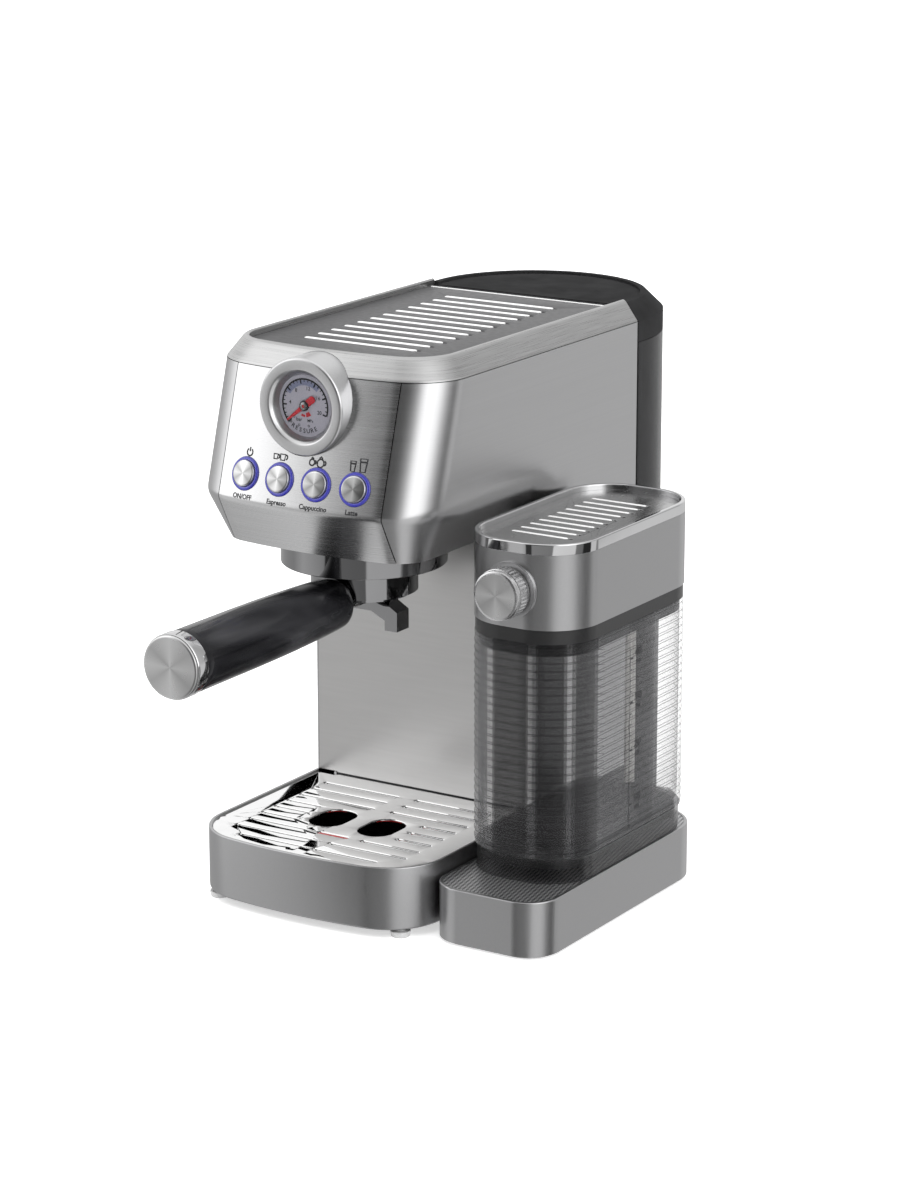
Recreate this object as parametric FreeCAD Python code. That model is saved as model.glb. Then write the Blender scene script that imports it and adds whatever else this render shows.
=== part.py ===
"""Espresso machine with a milk-frothing unit docked at its right side.

Lengths are in millimetres.  Everything is drawn in the machine's own frame:
x = 0 is the machine's mid-plane, -Y is the front, z = 0 is the worktop.
save() then moves each piece so that the origin is the centre of the footprint.
"""
import FreeCAD
import Part
import math
import os

V = FreeCAD.Vector
UP = V(0, 0, 1)
BACK = V(0, 1, 0)
RIGHT = V(1, 0, 0)

# ---------------------------------------------------------------- driving sizes
BODY_HALF = 74.0            # half the width of head, column, tray and tank
SHEET = 1.5                 # steel sheet thickness
FIT = 0.2                   # gap between separate pieces

TRAY_FRONT = -109.2
TRAY_BOW = 330.0            # radius of the bowed tray front
TRAY_CORNER = 34.0
TRAY_BOTTOM = 4.7
TRAY_TOP = 40.6
TRAY_BACK = 23.8
GRID_TOP = 39.6
GRID_THICK = 1.5

COLUMN_FRONT = 24.3
BODY_BACK = 136.0
DECK_TOP = 40.0             # top of the base behind the tray

CHIN_Z = 205.0              # flat underside of the head
CREASE_Z = 231.7            # lower edge of the front panel
SEAM_Z = 302.0              # joint between the panels and the top cover
RIM_Z = 314.0               # top of the rim round the warming plate
HEAD_BOW = 300.0
FASCIA_HALF = 52.5          # half width of the front panel

GROUP_Y = -35.4             # brewing axis
COLLAR_R = 46.0
COLLAR_Z = 190.0
BOWL_R = 29.7
BOWL_Z = 174.0
HANDLE_Z = 172.2
HANDLE_END = -215.5

GAUGE_Z = 286.3
GAUGE_R = 26.6
GAUGE_FRONT = -96.0
GAUGE_DEPTH = 23.9

BUTTON_Z = 246.2
BUTTON_PITCH = 23.5
BUTTON_R = 7.2
RING_R = 9.3

TANK_FRONT = 137.2
TANK_CENTRE_Y = 147.0       # centre of the tank's round back
TANK_FLOOR = 62.0
TANK_TOP = 290.0
LID_RIM_Z = 312.0
LID_RIM_HALF = 65.0
LID_RIM_CENTRE_Y = 145.0
TANK_WALL = 2.4
HINGE_Y = 130.0             # hinge line of the tank lid
HINGE_Z = 309.4
VALVE_Y = 172.0

MILK_X0 = 75.4
MILK_X1 = 147.6
MILK_Y0 = -63.6
MILK_Y1 = 83.3
MILK_CORNER = 29.5
MILK_MID = (MILK_X0 + MILK_X1) / 2
MILK_BASE_TOP = 32.3
MILK_BASE_FRONT = -91.5
MILK_BASE_BACK = 92.0
JAR_FLOOR = 46.5
JAR_TOP = 166.3
HEAD_BOTTOM = 174.2
MILK_RING_Z = 215.2
MILK_TOP = 221.3
KNOB_Z = 194.8
PORT_Y = 44.0               # steam connection between column and milk unit
PORT_Z = 195.0

# centre of the footprint: it becomes the origin
FOOT_X = (MILK_X1 - BODY_HALF) / 2
FOOT_Y = (TANK_CENTRE_Y + BODY_HALF + 1.5 + HANDLE_END) / 2


# ---------------------------------------------------------------- small helpers
def save(name, shape):
    """Move a finished piece to the part frame and write it."""
    placed = shape.copy()
    placed.translate(V(-FOOT_X, -FOOT_Y, 0))
    placed.exportStep("parts/" + name + ".step")


def box(x0, x1, y0, y1, z0, z1):
    return Part.makeBox(x1 - x0, y1 - y0, z1 - z0, V(x0, y0, z0))


def rod(x, y, z, radius, length, direction=UP):
    return Part.makeCylinder(radius, length, V(x, y, z), direction)


def pipe(x, y, z, outer, inner, length, direction=UP):
    return rod(x, y, z, outer, length, direction).cut(rod(x, y, z, inner, length, direction))


def fuse(shapes):
    whole = shapes[0].multiFuse(shapes[1:])
    return whole.removeSplitter()


def closed(points):
    return Part.Wire(Part.makePolygon(points + points[:1]))


def prism(wire, height):
    return Part.Face(wire).extrude(V(0, 0, height))


def line(a, b):
    return Part.LineSegment(a, b).toShape()


def arc(a, middle, b):
    return Part.Arc(a, middle, b).toShape()


def bowed_plan(half, front, back, bow, corner, z):
    """Outline seen from above: bowed front, round front corners, square back."""
    bow_y = front + bow
    cx = half - corner
    cy = bow_y - math.sqrt((bow - corner) ** 2 - cx ** 2)
    grow = bow / (bow - corner)
    tx = cx * grow
    ty = bow_y + (cy - bow_y) * grow
    lean = math.atan2(cy - bow_y, cx) / 2
    mx = cx + corner * math.cos(lean)
    my = cy + corner * math.sin(lean)
    edges = [
        arc(V(-tx, ty, z), V(0, front, z), V(tx, ty, z)),
        arc(V(tx, ty, z), V(mx, my, z), V(half, cy, z)),
        line(V(half, cy, z), V(half, back, z)),
        line(V(half, back, z), V(-half, back, z)),
        line(V(-half, back, z), V(-half, cy, z)),
        arc(V(-half, cy, z), V(-mx, my, z), V(-tx, ty, z)),
    ]
    return Part.Wire(edges)


def round_plan(x0, x1, y0, y1, front_r, back_r, z):
    """Rectangle seen from above with its own front and back corner radii."""
    k = 1 - math.sqrt(0.5)
    f = front_r * k
    b = back_r * k
    edges = [
        line(V(x0 + front_r, y0, z), V(x1 - front_r, y0, z)),
        arc(V(x1 - front_r, y0, z), V(x1 - f, y0 + f, z), V(x1, y0 + front_r, z)),
        line(V(x1, y0 + front_r, z), V(x1, y1 - back_r, z)),
        arc(V(x1, y1 - back_r, z), V(x1 - b, y1 - b, z), V(x1 - back_r, y1, z)),
        line(V(x1 - back_r, y1, z), V(x0 + back_r, y1, z)),
        arc(V(x0 + back_r, y1, z), V(x0 + b, y1 - b, z), V(x0, y1 - back_r, z)),
        line(V(x0, y1 - back_r, z), V(x0, y0 + front_r, z)),
        arc(V(x0, y0 + front_r, z), V(x0 + f, y0 + f, z), V(x0 + front_r, y0, z)),
    ]
    return Part.Wire(edges)


def tank_plan(half, front, centre_y, z):
    """D seen from above: flat front, straight sides and a round back."""
    edges = [
        line(V(-half, front, z), V(half, front, z)),
        line(V(half, front, z), V(half, centre_y, z)),
        arc(V(half, centre_y, z), V(0, centre_y + half, z), V(-half, centre_y, z)),
        line(V(-half, centre_y, z), V(-half, front, z)),
    ]
    return Part.Wire(edges)


def milk_block(inset, z0, z1):
    """Solid with the milk unit's outline, drawn in by inset."""
    wire = round_plan(MILK_X0 + inset, MILK_X1 - inset, MILK_Y0 + inset, MILK_Y1 - inset,
                      MILK_CORNER - inset, MILK_CORNER - inset, z0)
    return prism(wire, z1 - z0)


def tank_block(inset, z0, z1):
    wire = tank_plan(BODY_HALF - inset, TANK_FRONT + inset, TANK_CENTRE_Y, z0)
    return prism(wire, z1 - z0)


def loft(low, high):
    return Part.makeLoft([low, high], True, True)


def slot(x0, x1, y, width, z0, z1):
    """Long hole with round ends along X."""
    r = width / 2
    middle = box(x0 + r, x1 - r, y - r, y + r, z0, z1)
    return fuse([middle, rod(x0 + r, y, z0, r, z1 - z0), rod(x1 - r, y, z0, r, z1 - z0)])


def lathe(profile, axis_point, axis):
    """Turn a closed profile, given as points, through a full circle."""
    return Part.Face(closed(profile)).revolve(axis_point, axis, 360)


def hose(points, bend, radius):
    """Round tube along straight runs joined by arcs of one bend radius."""
    edges = []
    start = points[0]
    for i in range(1, len(points) - 1):
        before = (points[i - 1] - points[i]).normalize()
        after = (points[i + 1] - points[i]).normalize()
        half_angle = before.getAngle(after) / 2
        reach = bend / math.tan(half_angle)
        enter = points[i] + before * reach
        leave = points[i] + after * reach
        inward = (before + after).normalize()
        apex = points[i] + inward * (bend / math.sin(half_angle) - bend)
        edges.append(line(start, enter))
        edges.append(arc(enter, apex, leave))
        start = leave
    edges.append(line(start, points[-1]))
    path = Part.Wire(edges)
    ring = Part.Wire(Part.makeCircle(radius, points[0], points[1] - points[0]))
    return path.makePipeShell([ring], True, True)


# ---------------------------------------------------------------- head outline
HEAD_LEVELS = [
    (CHIN_Z, 62.5, -89.5, 20.0),
    (CREASE_Z, BODY_HALF, -103.4, 31.0),
    (SEAM_Z, BODY_HALF, -82.8, 31.0),
    (RIM_Z, 65.5, -74.0, 26.0),
]
PANEL_SLOPE = (HEAD_LEVELS[2][2] - HEAD_LEVELS[1][2]) / (SEAM_Z - CREASE_Z)


def head_plan(level, inset, back=BODY_BACK):
    z, half, front, corner = level
    return bowed_plan(half - inset, front + inset, back, HEAD_BOW, corner - inset, z)


def head_block(inset, first, last, back=BODY_BACK):
    """The head between two of its levels, drawn in by inset."""
    pieces = []
    for i in range(first, last):
        low = head_plan(HEAD_LEVELS[i], inset, back)
        high = head_plan(HEAD_LEVELS[i + 1], inset, back)
        pieces.append(loft(low, high))
    if len(pieces) == 1:
        return pieces[0]
    return pieces[0].fuse(pieces[1:])


def panel_point(x, z):
    """Point on the front panel and its outward normal."""
    front = HEAD_LEVELS[1][2] + (z - CREASE_Z) * PANEL_SLOPE
    fan = math.asin(x / HEAD_BOW)
    y = front + HEAD_BOW * (1 - math.cos(fan))
    normal = V(math.sin(fan), -math.cos(fan), PANEL_SLOPE * math.cos(fan))
    return V(x, y, z), normal.normalize()


def button_places():
    return [panel_point(BUTTON_PITCH * (i - 1.5), BUTTON_Z) for i in range(4)]


def body_shells():
    """Sheet-metal skin of head and column, not yet cut into its panels."""
    outer = head_block(0, 0, 2).fuse(box(-BODY_HALF, BODY_HALF, COLUMN_FRONT, BODY_BACK, DECK_TOP, SEAM_Z))
    inner = head_block(SHEET, 0, 2).fuse(
        box(-BODY_HALF + SHEET, BODY_HALF - SHEET, COLUMN_FRONT + SHEET, BODY_BACK, DECK_TOP, SEAM_Z))
    skin = outer.cut(inner)
    gauge_hole = rod(0, GAUGE_FRONT, GAUGE_Z, GAUGE_R + 0.1, GAUGE_DEPTH + 0.2, BACK)
    return skin.cut(gauge_hole)


def make_panels():
    skin = body_shells()
    fascia = skin.common(box(-FASCIA_HALF, FASCIA_HALF, -120, -60, CHIN_Z, SEAM_Z))
    for point, normal in button_places():
        hole = Part.makeCylinder(RING_R + 0.05, 20, point + normal * 8, normal * -1)
        fascia = fascia.cut(hole)
    save("front_fascia", fascia)

    port = rod(BODY_HALF - 4, PORT_Y, PORT_Z, 6.2, 8, RIGHT)
    for side, name in ((-1, "side_shell_left"), (1, "side_shell_right")):
        near = FASCIA_HALF + 0.25
        far = BODY_HALF + 1
        reach = box(min(side * near, side * far), max(side * near, side * far), -120, BODY_BACK, DECK_TOP, SEAM_Z)
        shell = skin.common(reach)
        shell = shell.cut(box(-BODY_HALF + SHEET, BODY_HALF - SHEET, COLUMN_FRONT - 1, COLUMN_FRONT + 2,
                              DECK_TOP, CHIN_Z))
        if side > 0:
            shell = shell.cut(port)
        save(name, shell)

    front = box(-BODY_HALF + SHEET + 0.1, BODY_HALF - SHEET - 0.1, COLUMN_FRONT, COLUMN_FRONT + SHEET,
                DECK_TOP, CHIN_Z)
    save("column_panel", front)
    back = box(-BODY_HALF + SHEET + 0.1, BODY_HALF - SHEET - 0.1, BODY_BACK - SHEET, BODY_BACK,
               DECK_TOP, SEAM_Z - 0.2)
    save("back_panel", back)


def make_underside():
    low = bowed_plan(60.8, -87.8, COLUMN_FRONT - 0.1, HEAD_BOW, 18.3, CHIN_Z)
    plate = prism(low, SHEET)
    save("underside_plate", plate.cut(rod(0, GROUP_Y, CHIN_Z - 1, 41, 4)))


def make_top():
    """Bevelled top cover with a recess, and the slotted warming plate in it."""
    cover = head_block(0, 2, 3)
    hollow = loft(bowed_plan(BODY_HALF - SHEET, -81.3, BODY_BACK, HEAD_BOW, 29.5, SEAM_Z),
                  bowed_plan(68.8, -77.5, BODY_BACK, HEAD_BOW, 27.0, 307.2))
    recess = prism(bowed_plan(63.0, -71.4, BODY_BACK, HEAD_BOW, 24.0, 308.7), 6)
    cover = cover.cut(hollow).cut(recess)
    cover = cover.cut(rod(0, GAUGE_FRONT, GAUGE_Z, GAUGE_R + 0.1, GAUGE_DEPTH + 0.2, BACK))
    save("top_cover", cover)

    plate = prism(bowed_plan(62.8, -71.2, 129.0, HEAD_BOW, 23.8, 308.7), 1.6)
    for i in range(12):
        plate = plate.cut(slot(-37.5, 37.5, -36.3 + 13.0 * i, 3.0, 308, 311))
    save("warming_plate", plate)


# ---------------------------------------------------------------- base and feet
def make_base():
    """Base plate, the moulded base behind the tray, its feet and screws."""
    screw_places = [(-55, 45), (55, 45), (-45, 160), (45, 160)]
    front = prism(bowed_plan(68.0, -102.0, 60, TRAY_BOW, 28.0, 5.0), 2.0)
    rear = prism(tank_plan(BODY_HALF - 2.2, COLUMN_FRONT + 2.2, TANK_CENTRE_Y, 5.0), 2.0)
    plate = fuse([front, rear])
    for x, y in screw_places:
        plate = plate.cut(rod(x, y, 4, 1.7, 5)).cut(rod(x, y, 4, 3.2, 2))
    for i in range(7):
        plate = plate.cut(slot(-22, 22, 78 + 6.0 * i, 2.4, 4, 8))
    save("base_plate", plate)

    outer = prism(tank_plan(BODY_HALF, COLUMN_FRONT, TANK_CENTRE_Y, TRAY_BOTTOM), TANK_FLOOR + 4 - TRAY_BOTTOM)
    outer = outer.cut(box(-80, 80, 0, BODY_BACK + 0.3, DECK_TOP, 80))
    nest = prism(tank_plan(BODY_HALF - 2.0, BODY_BACK, TANK_CENTRE_Y, TANK_FLOOR - 0.2), 10)
    hollow = prism(tank_plan(BODY_HALF - 2.0, COLUMN_FRONT + 2.0, TANK_CENTRE_Y, 0), DECK_TOP - 3)
    upper = prism(tank_plan(BODY_HALF - 4.0, BODY_BACK + 4, TANK_CENTRE_Y, DECK_TOP), TANK_FLOOR - 3.2 - DECK_TOP)
    sill = box(-68.2, 68.2, COLUMN_FRONT - 1, COLUMN_FRONT + 3, 4, 7.1)
    chassis = outer.cut(nest).cut(hollow).cut(upper).cut(sill)
    for x, y in screw_places:
        boss = rod(x, y, 7.1, 4.0, DECK_TOP - 9)
        chassis = chassis.fuse(boss).cut(rod(x, y, 0, 1.55, 22))
    chassis = chassis.cut(rod(0, VALVE_Y, 45, 14.0, 30))
    chassis = chassis.cut(rod(0, VALVE_Y, 30, 5.1, 30))
    chassis = chassis.cut(rod(-28, 92, 30, 7.0, 20))
    chassis = chassis.cut(rod(0, 200, 22, 6.55, 30, BACK))
    save("base_chassis", chassis.removeSplitter())

    screws = []
    for x, y in screw_places:
        screws.append(fuse([rod(x, y, 5.0, 3.0, 0.9), rod(x, y, 5.9, 1.5, 14)]))
    save("case_screws", Part.makeCompound(screws))

    feet = []
    for x, y in ((-60, -93), (60, -93), (-48, 178), (48, 178)):
        feet.append(fuse([Part.makeCone(7.4, 8.2, 3.4, V(x, y, 0)), rod(x, y, 3.4, 3.0, 1.6)]))
    pad_outer = round_plan(78.6, 144.6, MILK_BASE_FRONT + 3, MILK_BASE_BACK - 3, 16, 27, 0)
    pad_inner = round_plan(84.6, 138.6, MILK_BASE_FRONT + 9, MILK_BASE_BACK - 9, 10, 21, 0)
    feet.append(prism(pad_outer, 1.5).cut(prism(pad_inner, 1.5)))
    save("rubber_feet", Part.makeCompound(feet))

    gland = fuse([pipe(0, 206, 22, 6.5, 3.4, 16.5, BACK), pipe(0, 212, 22, 9.0, 3.4, 4.0, BACK)])
    save("power_gland", gland)

    seat = pipe(0, VALVE_Y, 46, 13.9, 7.6, TANK_FLOOR - 0.4 - 46)
    seat = fuse([seat, pipe(0, VALVE_Y, 36, 5.0, 3.0, 10), pipe(0, VALVE_Y, 45, 13.9, 3.0, 1.5)])
    save("tank_valve_seat", seat)


# ---------------------------------------------------------------- drip tray
def make_tray():
    front_at = TRAY_FRONT
    skirt = prism(bowed_plan(BODY_HALF, front_at, TRAY_BACK, TRAY_BOW, TRAY_CORNER, TRAY_BOTTOM),
                  TRAY_TOP - TRAY_BOTTOM)
    inside = prism(bowed_plan(BODY_HALF - 2, front_at + 2, TRAY_BACK + 5, TRAY_BOW, TRAY_CORNER - 2, 0), 60)
    save("tray_band", skirt.cut(inside))

    pan = prism(bowed_plan(BODY_HALF - 2.1, front_at + 2.1, TRAY_BACK, TRAY_BOW, TRAY_CORNER - 2.1, 7.6), 30.4)
    well = prism(bowed_plan(BODY_HALF - 4.4, front_at + 4.4, TRAY_BACK - 2.3, TRAY_BOW, TRAY_CORNER - 4.4, 9.8), 40)
    save("drip_pan", pan.cut(well))

    grid_z = GRID_TOP - GRID_THICK
    grid = prism(bowed_plan(BODY_HALF - 2.4, front_at + 2.4, TRAY_BACK - 0.3, TRAY_BOW, TRAY_CORNER - 2.4, grid_z),
                 GRID_THICK)
    holes = []
    for row in range(9):
        y = -94.0 + 12.5 * row
        start, end = 5.0, 57.0
        if row == 0:
            start, end = 3.0, 46.0
        if row == 2:
            start = 18.0
            holes.append(slot(-10.5, 10.5, y, 4.0, 30, 50))
        if row in (3, 4, 5):
            start = 33.0
        holes.append(slot(start, end, y, 3.4, 30, 50))
        holes.append(slot(-end, -start, y, 3.4, 30, 50))
    for side in (-1, 1):
        oval = round_plan(side * 16.3 - 11, side * 16.3 + 11, -60.5, -28.5, 10.9, 10.9, 30)
        holes.append(prism(oval, 20))
    save("drip_grid", grid.cut(holes))

    body = box(-27, 27, -66.5, -24, 11.0, 18.0)
    tab = box(-9, 9, -70.2, -67.8, 11.0, 37.2)
    web = box(-9, 9, -68, -66, 11.0, 18.0)
    save("tray_float", fuse([body, tab, web]))


# ---------------------------------------------------------------- brewing group
def sector_gap(centre_deg, half_deg, r, z0, z1):
    """Wedge used to cut a gap in a ring about the brewing axis."""
    points = [V(0, GROUP_Y, z0)]
    for turn in (-1, 0, 1):
        angle = math.radians(centre_deg + turn * half_deg)
        stretch = 1.3 * r
        points.append(V(stretch * math.cos(angle), GROUP_Y + stretch * math.sin(angle), z0))
    return prism(closed(points), z1 - z0)


def make_group():
    collar = pipe(0, GROUP_Y, COLLAR_Z, COLLAR_R, 40.2, CHIN_Z - COLLAR_Z)
    ledge = pipe(0, GROUP_Y, COLLAR_Z + 1.5, 40.3, 33.1, 3.0)
    for centre in (-45, 135):
        ledge = ledge.cut(sector_gap(centre, 23, 41, COLLAR_Z, COLLAR_Z + 10))
    save("group_collar", fuse([collar, ledge]))

    head = rod(0, GROUP_Y, CHIN_Z, 40.0, 17)
    head = head.fuse(pipe(0, GROUP_Y, 203.6, 32.5, 26.0, 1.4))
    head = head.cut(rod(0, GROUP_Y, 200, 2.0, 30))
    save("group_head", head.removeSplitter())
    save("group_gasket", pipe(0, GROUP_Y, 199.6, 32.0, 26.6, 4.0))
    screen = rod(0, GROUP_Y, 201.4, 25.4, 0.8)
    screen = screen.fuse(pipe(0, GROUP_Y, 201.4, 25.4, 24.6, 3.5))
    for ring in range(1, 4):
        for i in range(6 * ring):
            turn = 2 * math.pi * i / (6 * ring)
            hole = rod(6.5 * ring * math.cos(turn), GROUP_Y + 6.5 * ring * math.sin(turn), 200, 0.8, 3)
            screen = screen.cut(hole)
    save("shower_screen", screen)


def make_holder():
    """Filter holder with two lugs and a neck, its basket and its twin spout."""
    bowl = rod(0, GROUP_Y, BOWL_Z, BOWL_R, 15)
    rim = rod(0, GROUP_Y, BOWL_Z + 14, 32.7, 11.2)
    holder = bowl.fuse(rim)
    lug_ring = pipe(0, GROUP_Y, 195.0, 39.6, 31, 3.2)
    for centre in (0, 180):
        wedge = sector_gap(centre, 20, 41, 190, 200)
        holder = holder.fuse(lug_ring.common(wedge))
    neck = Part.makeCone(11.5, 7.2, 12, V(0, -66.0, HANDLE_Z), BACK)
    bar = rod(0, -66.0, HANDLE_Z, 7.0, 22, BACK)
    stud = rod(0, -66.0, HANDLE_Z, 4.0, 40, BACK * -1)
    holder = holder.fuse([neck, bar, stud])
    holder = holder.cut(rod(0, GROUP_Y, BOWL_Z + 2.5, 27.6, 40))
    holder = holder.cut(rod(0, GROUP_Y, BOWL_Z - 12, 4.5, 20))
    save("filter_holder", holder.removeSplitter())

    basket = rod(0, GROUP_Y, 178.5, 26.4, 20.9)
    flange = rod(0, GROUP_Y, 199.2, 0.1, 0.1)
    basket = basket.fuse(rod(0, GROUP_Y, 199.2, 32.0, 0.4)).fuse(flange)
    basket = basket.cut(rod(0, GROUP_Y, 179.3, 25.6, 40))
    for ring in range(1, 5):
        for i in range(5 * ring):
            turn = 2 * math.pi * i / (5 * ring)
            hole = rod(5.0 * ring * math.cos(turn), GROUP_Y + 5.0 * ring * math.sin(turn), 178, 0.7, 3)
            basket = basket.cut(hole)
    save("coffee_basket", basket.removeSplitter())

    profile = [V(-25, 0, 153), V(-25, 0, 164), V(-15, 0, 170), V(15, 0, 170), V(25, 0, 164), V(25, 0, 153),
               V(17, 0, 153), V(17, 0, 158.5), V(8, 0, 163), V(-8, 0, 163), V(-17, 0, 158.5), V(-17, 0, 153)]
    fork = Part.Face(closed(profile)).extrude(V(0, 12, 0))
    fork.translate(V(0, GROUP_Y - 6, 0))
    funnel = Part.makeCone(12.0, 24.0, 3.0, V(0, GROUP_Y, 169.0))
    ring = rod(0, GROUP_Y, 172.0, 26.0, 1.9)
    spout = fork.fuse([funnel, ring])
    spout = spout.cut(box(-13, 13, -70, GROUP_Y - 12, 160, 180))
    for x in (-21, 21):
        spout = spout.cut(rod(x, GROUP_Y, 150, 2.6, 13))
    spout = spout.cut(rod(0, GROUP_Y, 165, 4.5, 12))
    spout = spout.cut(rod(0, -67.0, HANDLE_Z, 7.3, 24.2, BACK))
    save("spout_block", spout.removeSplitter())


def make_handle():
    axis_point = V(0, 0, HANDLE_Z)
    outline = [(-66.3, 13.4), (-68.0, 14.4), (-84.0, 15.4), (-115.0, 16.5), (-150.0, 17.0), (-205.3, 17.2)]
    profile = [V(0, -66.3, HANDLE_Z)]
    for y, r in outline:
        profile.append(V(0, y, HANDLE_Z + r))
    profile.append(V(0, -205.3, HANDLE_Z))
    grip = lathe(profile, axis_point, BACK)
    grip = grip.cut(rod(0, -108, HANDLE_Z, 4.05, 45, BACK))
    save("handle_grip", grip)
    ring = pipe(0, -214.0, HANDLE_Z, 17.6, 16.0, 8.6, BACK)
    save("handle_end_ring", ring)
    cap = rod(0, -214.6, HANDLE_Z, 15.9, 9.2, BACK)
    face = Part.makeCone(16.4, 17.4, 1.3, V(0, HANDLE_END, HANDLE_Z), BACK)
    cap = cap.fuse(face)
    save("handle_end_cap", cap.removeSplitter())


# ---------------------------------------------------------------- gauge and buttons
def make_gauge():
    barrel = rod(0, GAUGE_FRONT, GAUGE_Z, GAUGE_R, GAUGE_DEPTH, BACK)
    barrel = barrel.makeFillet(1.2, [e for e in barrel.Edges if abs(e.CenterOfMass.y - GAUGE_FRONT) < 0.01])
    mouth = Part.makeCone(21.6, 18.6, 3.3, V(0, GAUGE_FRONT, GAUGE_Z), BACK)
    bore = rod(0, GAUGE_FRONT, GAUGE_Z, 18.6, 10.0, BACK)
    cavity = rod(0, GAUGE_FRONT + 10, GAUGE_Z, 17.0, 8.0, BACK)
    stem_hole = rod(0, GAUGE_FRONT + 18, GAUGE_Z, 3.0, 20, BACK)
    save("gauge_housing", barrel.cut([mouth, bore, cavity, stem_hole]))
    dial = rod(0, GAUGE_FRONT + 7.5, GAUGE_Z, 18.55, 1.2, BACK)
    save("gauge_dial", dial.cut(rod(0, GAUGE_FRONT, GAUGE_Z, 0.86, 20, BACK)))
    save("gauge_lens", rod(0, GAUGE_FRONT + 3.3, GAUGE_Z, 18.55, 1.2, BACK))

    rest = math.radians(218)
    tip = V(math.cos(rest), 0, math.sin(rest))
    side = V(-math.sin(rest), 0, math.cos(rest))
    centre = V(0, GAUGE_FRONT + 6.0, GAUGE_Z)
    pointer = closed([centre + tip * 14.2 + side * 0.35, centre + side * 1.3, centre - tip * 8.0 + side * 1.9,
                      centre - tip * 8.0 - side * 1.9, centre - side * 1.3, centre + tip * 14.2 - side * 0.35])
    blade = Part.Face(pointer).extrude(V(0, 0.8, 0))
    hub = rod(0, GAUGE_FRONT + 5.3, GAUGE_Z, 2.2, 1.9, BACK)
    shaft = rod(0, GAUGE_FRONT + 7.0, GAUGE_Z, 0.8, 6.5, BACK)
    save("gauge_needle", blade.fuse([hub, shaft]).removeSplitter())


def make_buttons():
    names = ["button_power", "button_espresso", "button_cappuccino", "button_latte"]
    rings = []
    for (point, normal), name in zip(button_places(), names):
        inward = normal * -1
        outer = Part.makeCylinder(RING_R, 6.0, point + normal * 0.9, inward)
        inner = Part.makeCylinder(BUTTON_R + 0.2, 7.0, point + normal * 1.0, inward)
        rings.append(outer.cut(inner))
        cap = Part.makeCylinder(BUTTON_R, 7.6, point + normal * 2.4, inward)
        cap = cap.makeFillet(0.5, cap.Edges[:1])
        flange = Part.makeCylinder(8.4, 1.0, point - normal * 5.3, inward)
        stem = Part.makeCylinder(2.4, 4.0, point - normal * 5.2, inward)
        save(name, cap.fuse([flange, stem]).removeSplitter())
    save("button_rings", Part.makeCompound(rings))


# ---------------------------------------------------------------- inside the case
def make_insides():
    block = box(-34, 34, GROUP_Y - 28, GROUP_Y + 34, 222.1, 252)
    for i in range(6):
        block = block.cut(box(-36, 36, GROUP_Y - 22 + 9.0 * i, GROUP_Y - 19 + 9.0 * i, 244, 254))
    block = block.fuse(pipe(0, GROUP_Y + 33, 233, 5.0, 2.5, 9, BACK))
    save("thermoblock", block.removeSplitter())

    pump = rod(-28, 92, 66, 9.0, 98)
    coil = box(-46, -10, 74, 110, 84, 126)
    coil_core = rod(-28, 92, 60, 3.0, 120)
    pump = pump.fuse([coil, rod(-28, 92, 52, 5.0, 20), rod(-28, 92, 160, 5.0, 14)]).cut(coil_core)
    save("water_pump", pump.removeSplitter())

    valve = box(20, 44, PORT_Y - 12, PORT_Y + 12, 186, 222)
    valve = valve.fuse([rod(32, PORT_Y, 222, 8.0, 22), rod(44, PORT_Y, PORT_Z, 4.5, 10, RIGHT)])
    valve = valve.cut(rod(40, PORT_Y, PORT_Z, 2.2, 20, RIGHT))
    save("steam_valve", valve.removeSplitter())

    suction = hose([V(0, VALVE_Y, 36), V(0, VALVE_Y, 20), V(-28, 92, 20), V(-28, 92, 52)], 12.0, 4.8)
    save("suction_hose", suction)
    pressure = hose([V(-28, 92, 174), V(-28, 92, 200), V(0, 60, 233), V(0, GROUP_Y + 42, 233)], 14.0, 4.5)
    save("pressure_hose", pressure)
    steam = rod(54, PORT_Y, PORT_Z, 4.4, 14, RIGHT)
    steam = steam.fuse([rod(68, PORT_Y, PORT_Z, 9.0, 4.4, RIGHT), rod(70, PORT_Y, PORT_Z, 6.0, 4.0, RIGHT)])
    save("steam_outlet", steam.cut(rod(50, PORT_Y, PORT_Z, 2.2, 30, RIGHT)).removeSplitter())

    board = box(-58, 58, 120, 121.6, 150, 270)
    chips = [box(-50 + 24 * i, -34 + 24 * i, 106, 120, 165 + 20 * (i % 3), 185 + 20 * (i % 3)) for i in range(4)]
    save("control_board", board.fuse(chips).removeSplitter())

    point, normal = panel_point(0, BUTTON_Z)
    depth = 16.0
    stem_reach = 12.2
    board = box(-46, 46, 0, 1.6, -11, 11)
    switches = []
    for i in range(4):
        x = BUTTON_PITCH * (i - 1.5)
        bow = HEAD_BOW - math.sqrt(HEAD_BOW ** 2 - x ** 2)
        switches.append(box(x - 3, x + 3, stem_reach + bow - depth, 0, -3, 3))
    board = board.fuse(switches)
    tilt = math.degrees(math.atan(PANEL_SLOPE))
    board.rotate(V(0, 0, 0), RIGHT, -tilt)
    board.translate(point - normal * depth)
    save("switch_board", board.removeSplitter())


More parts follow.
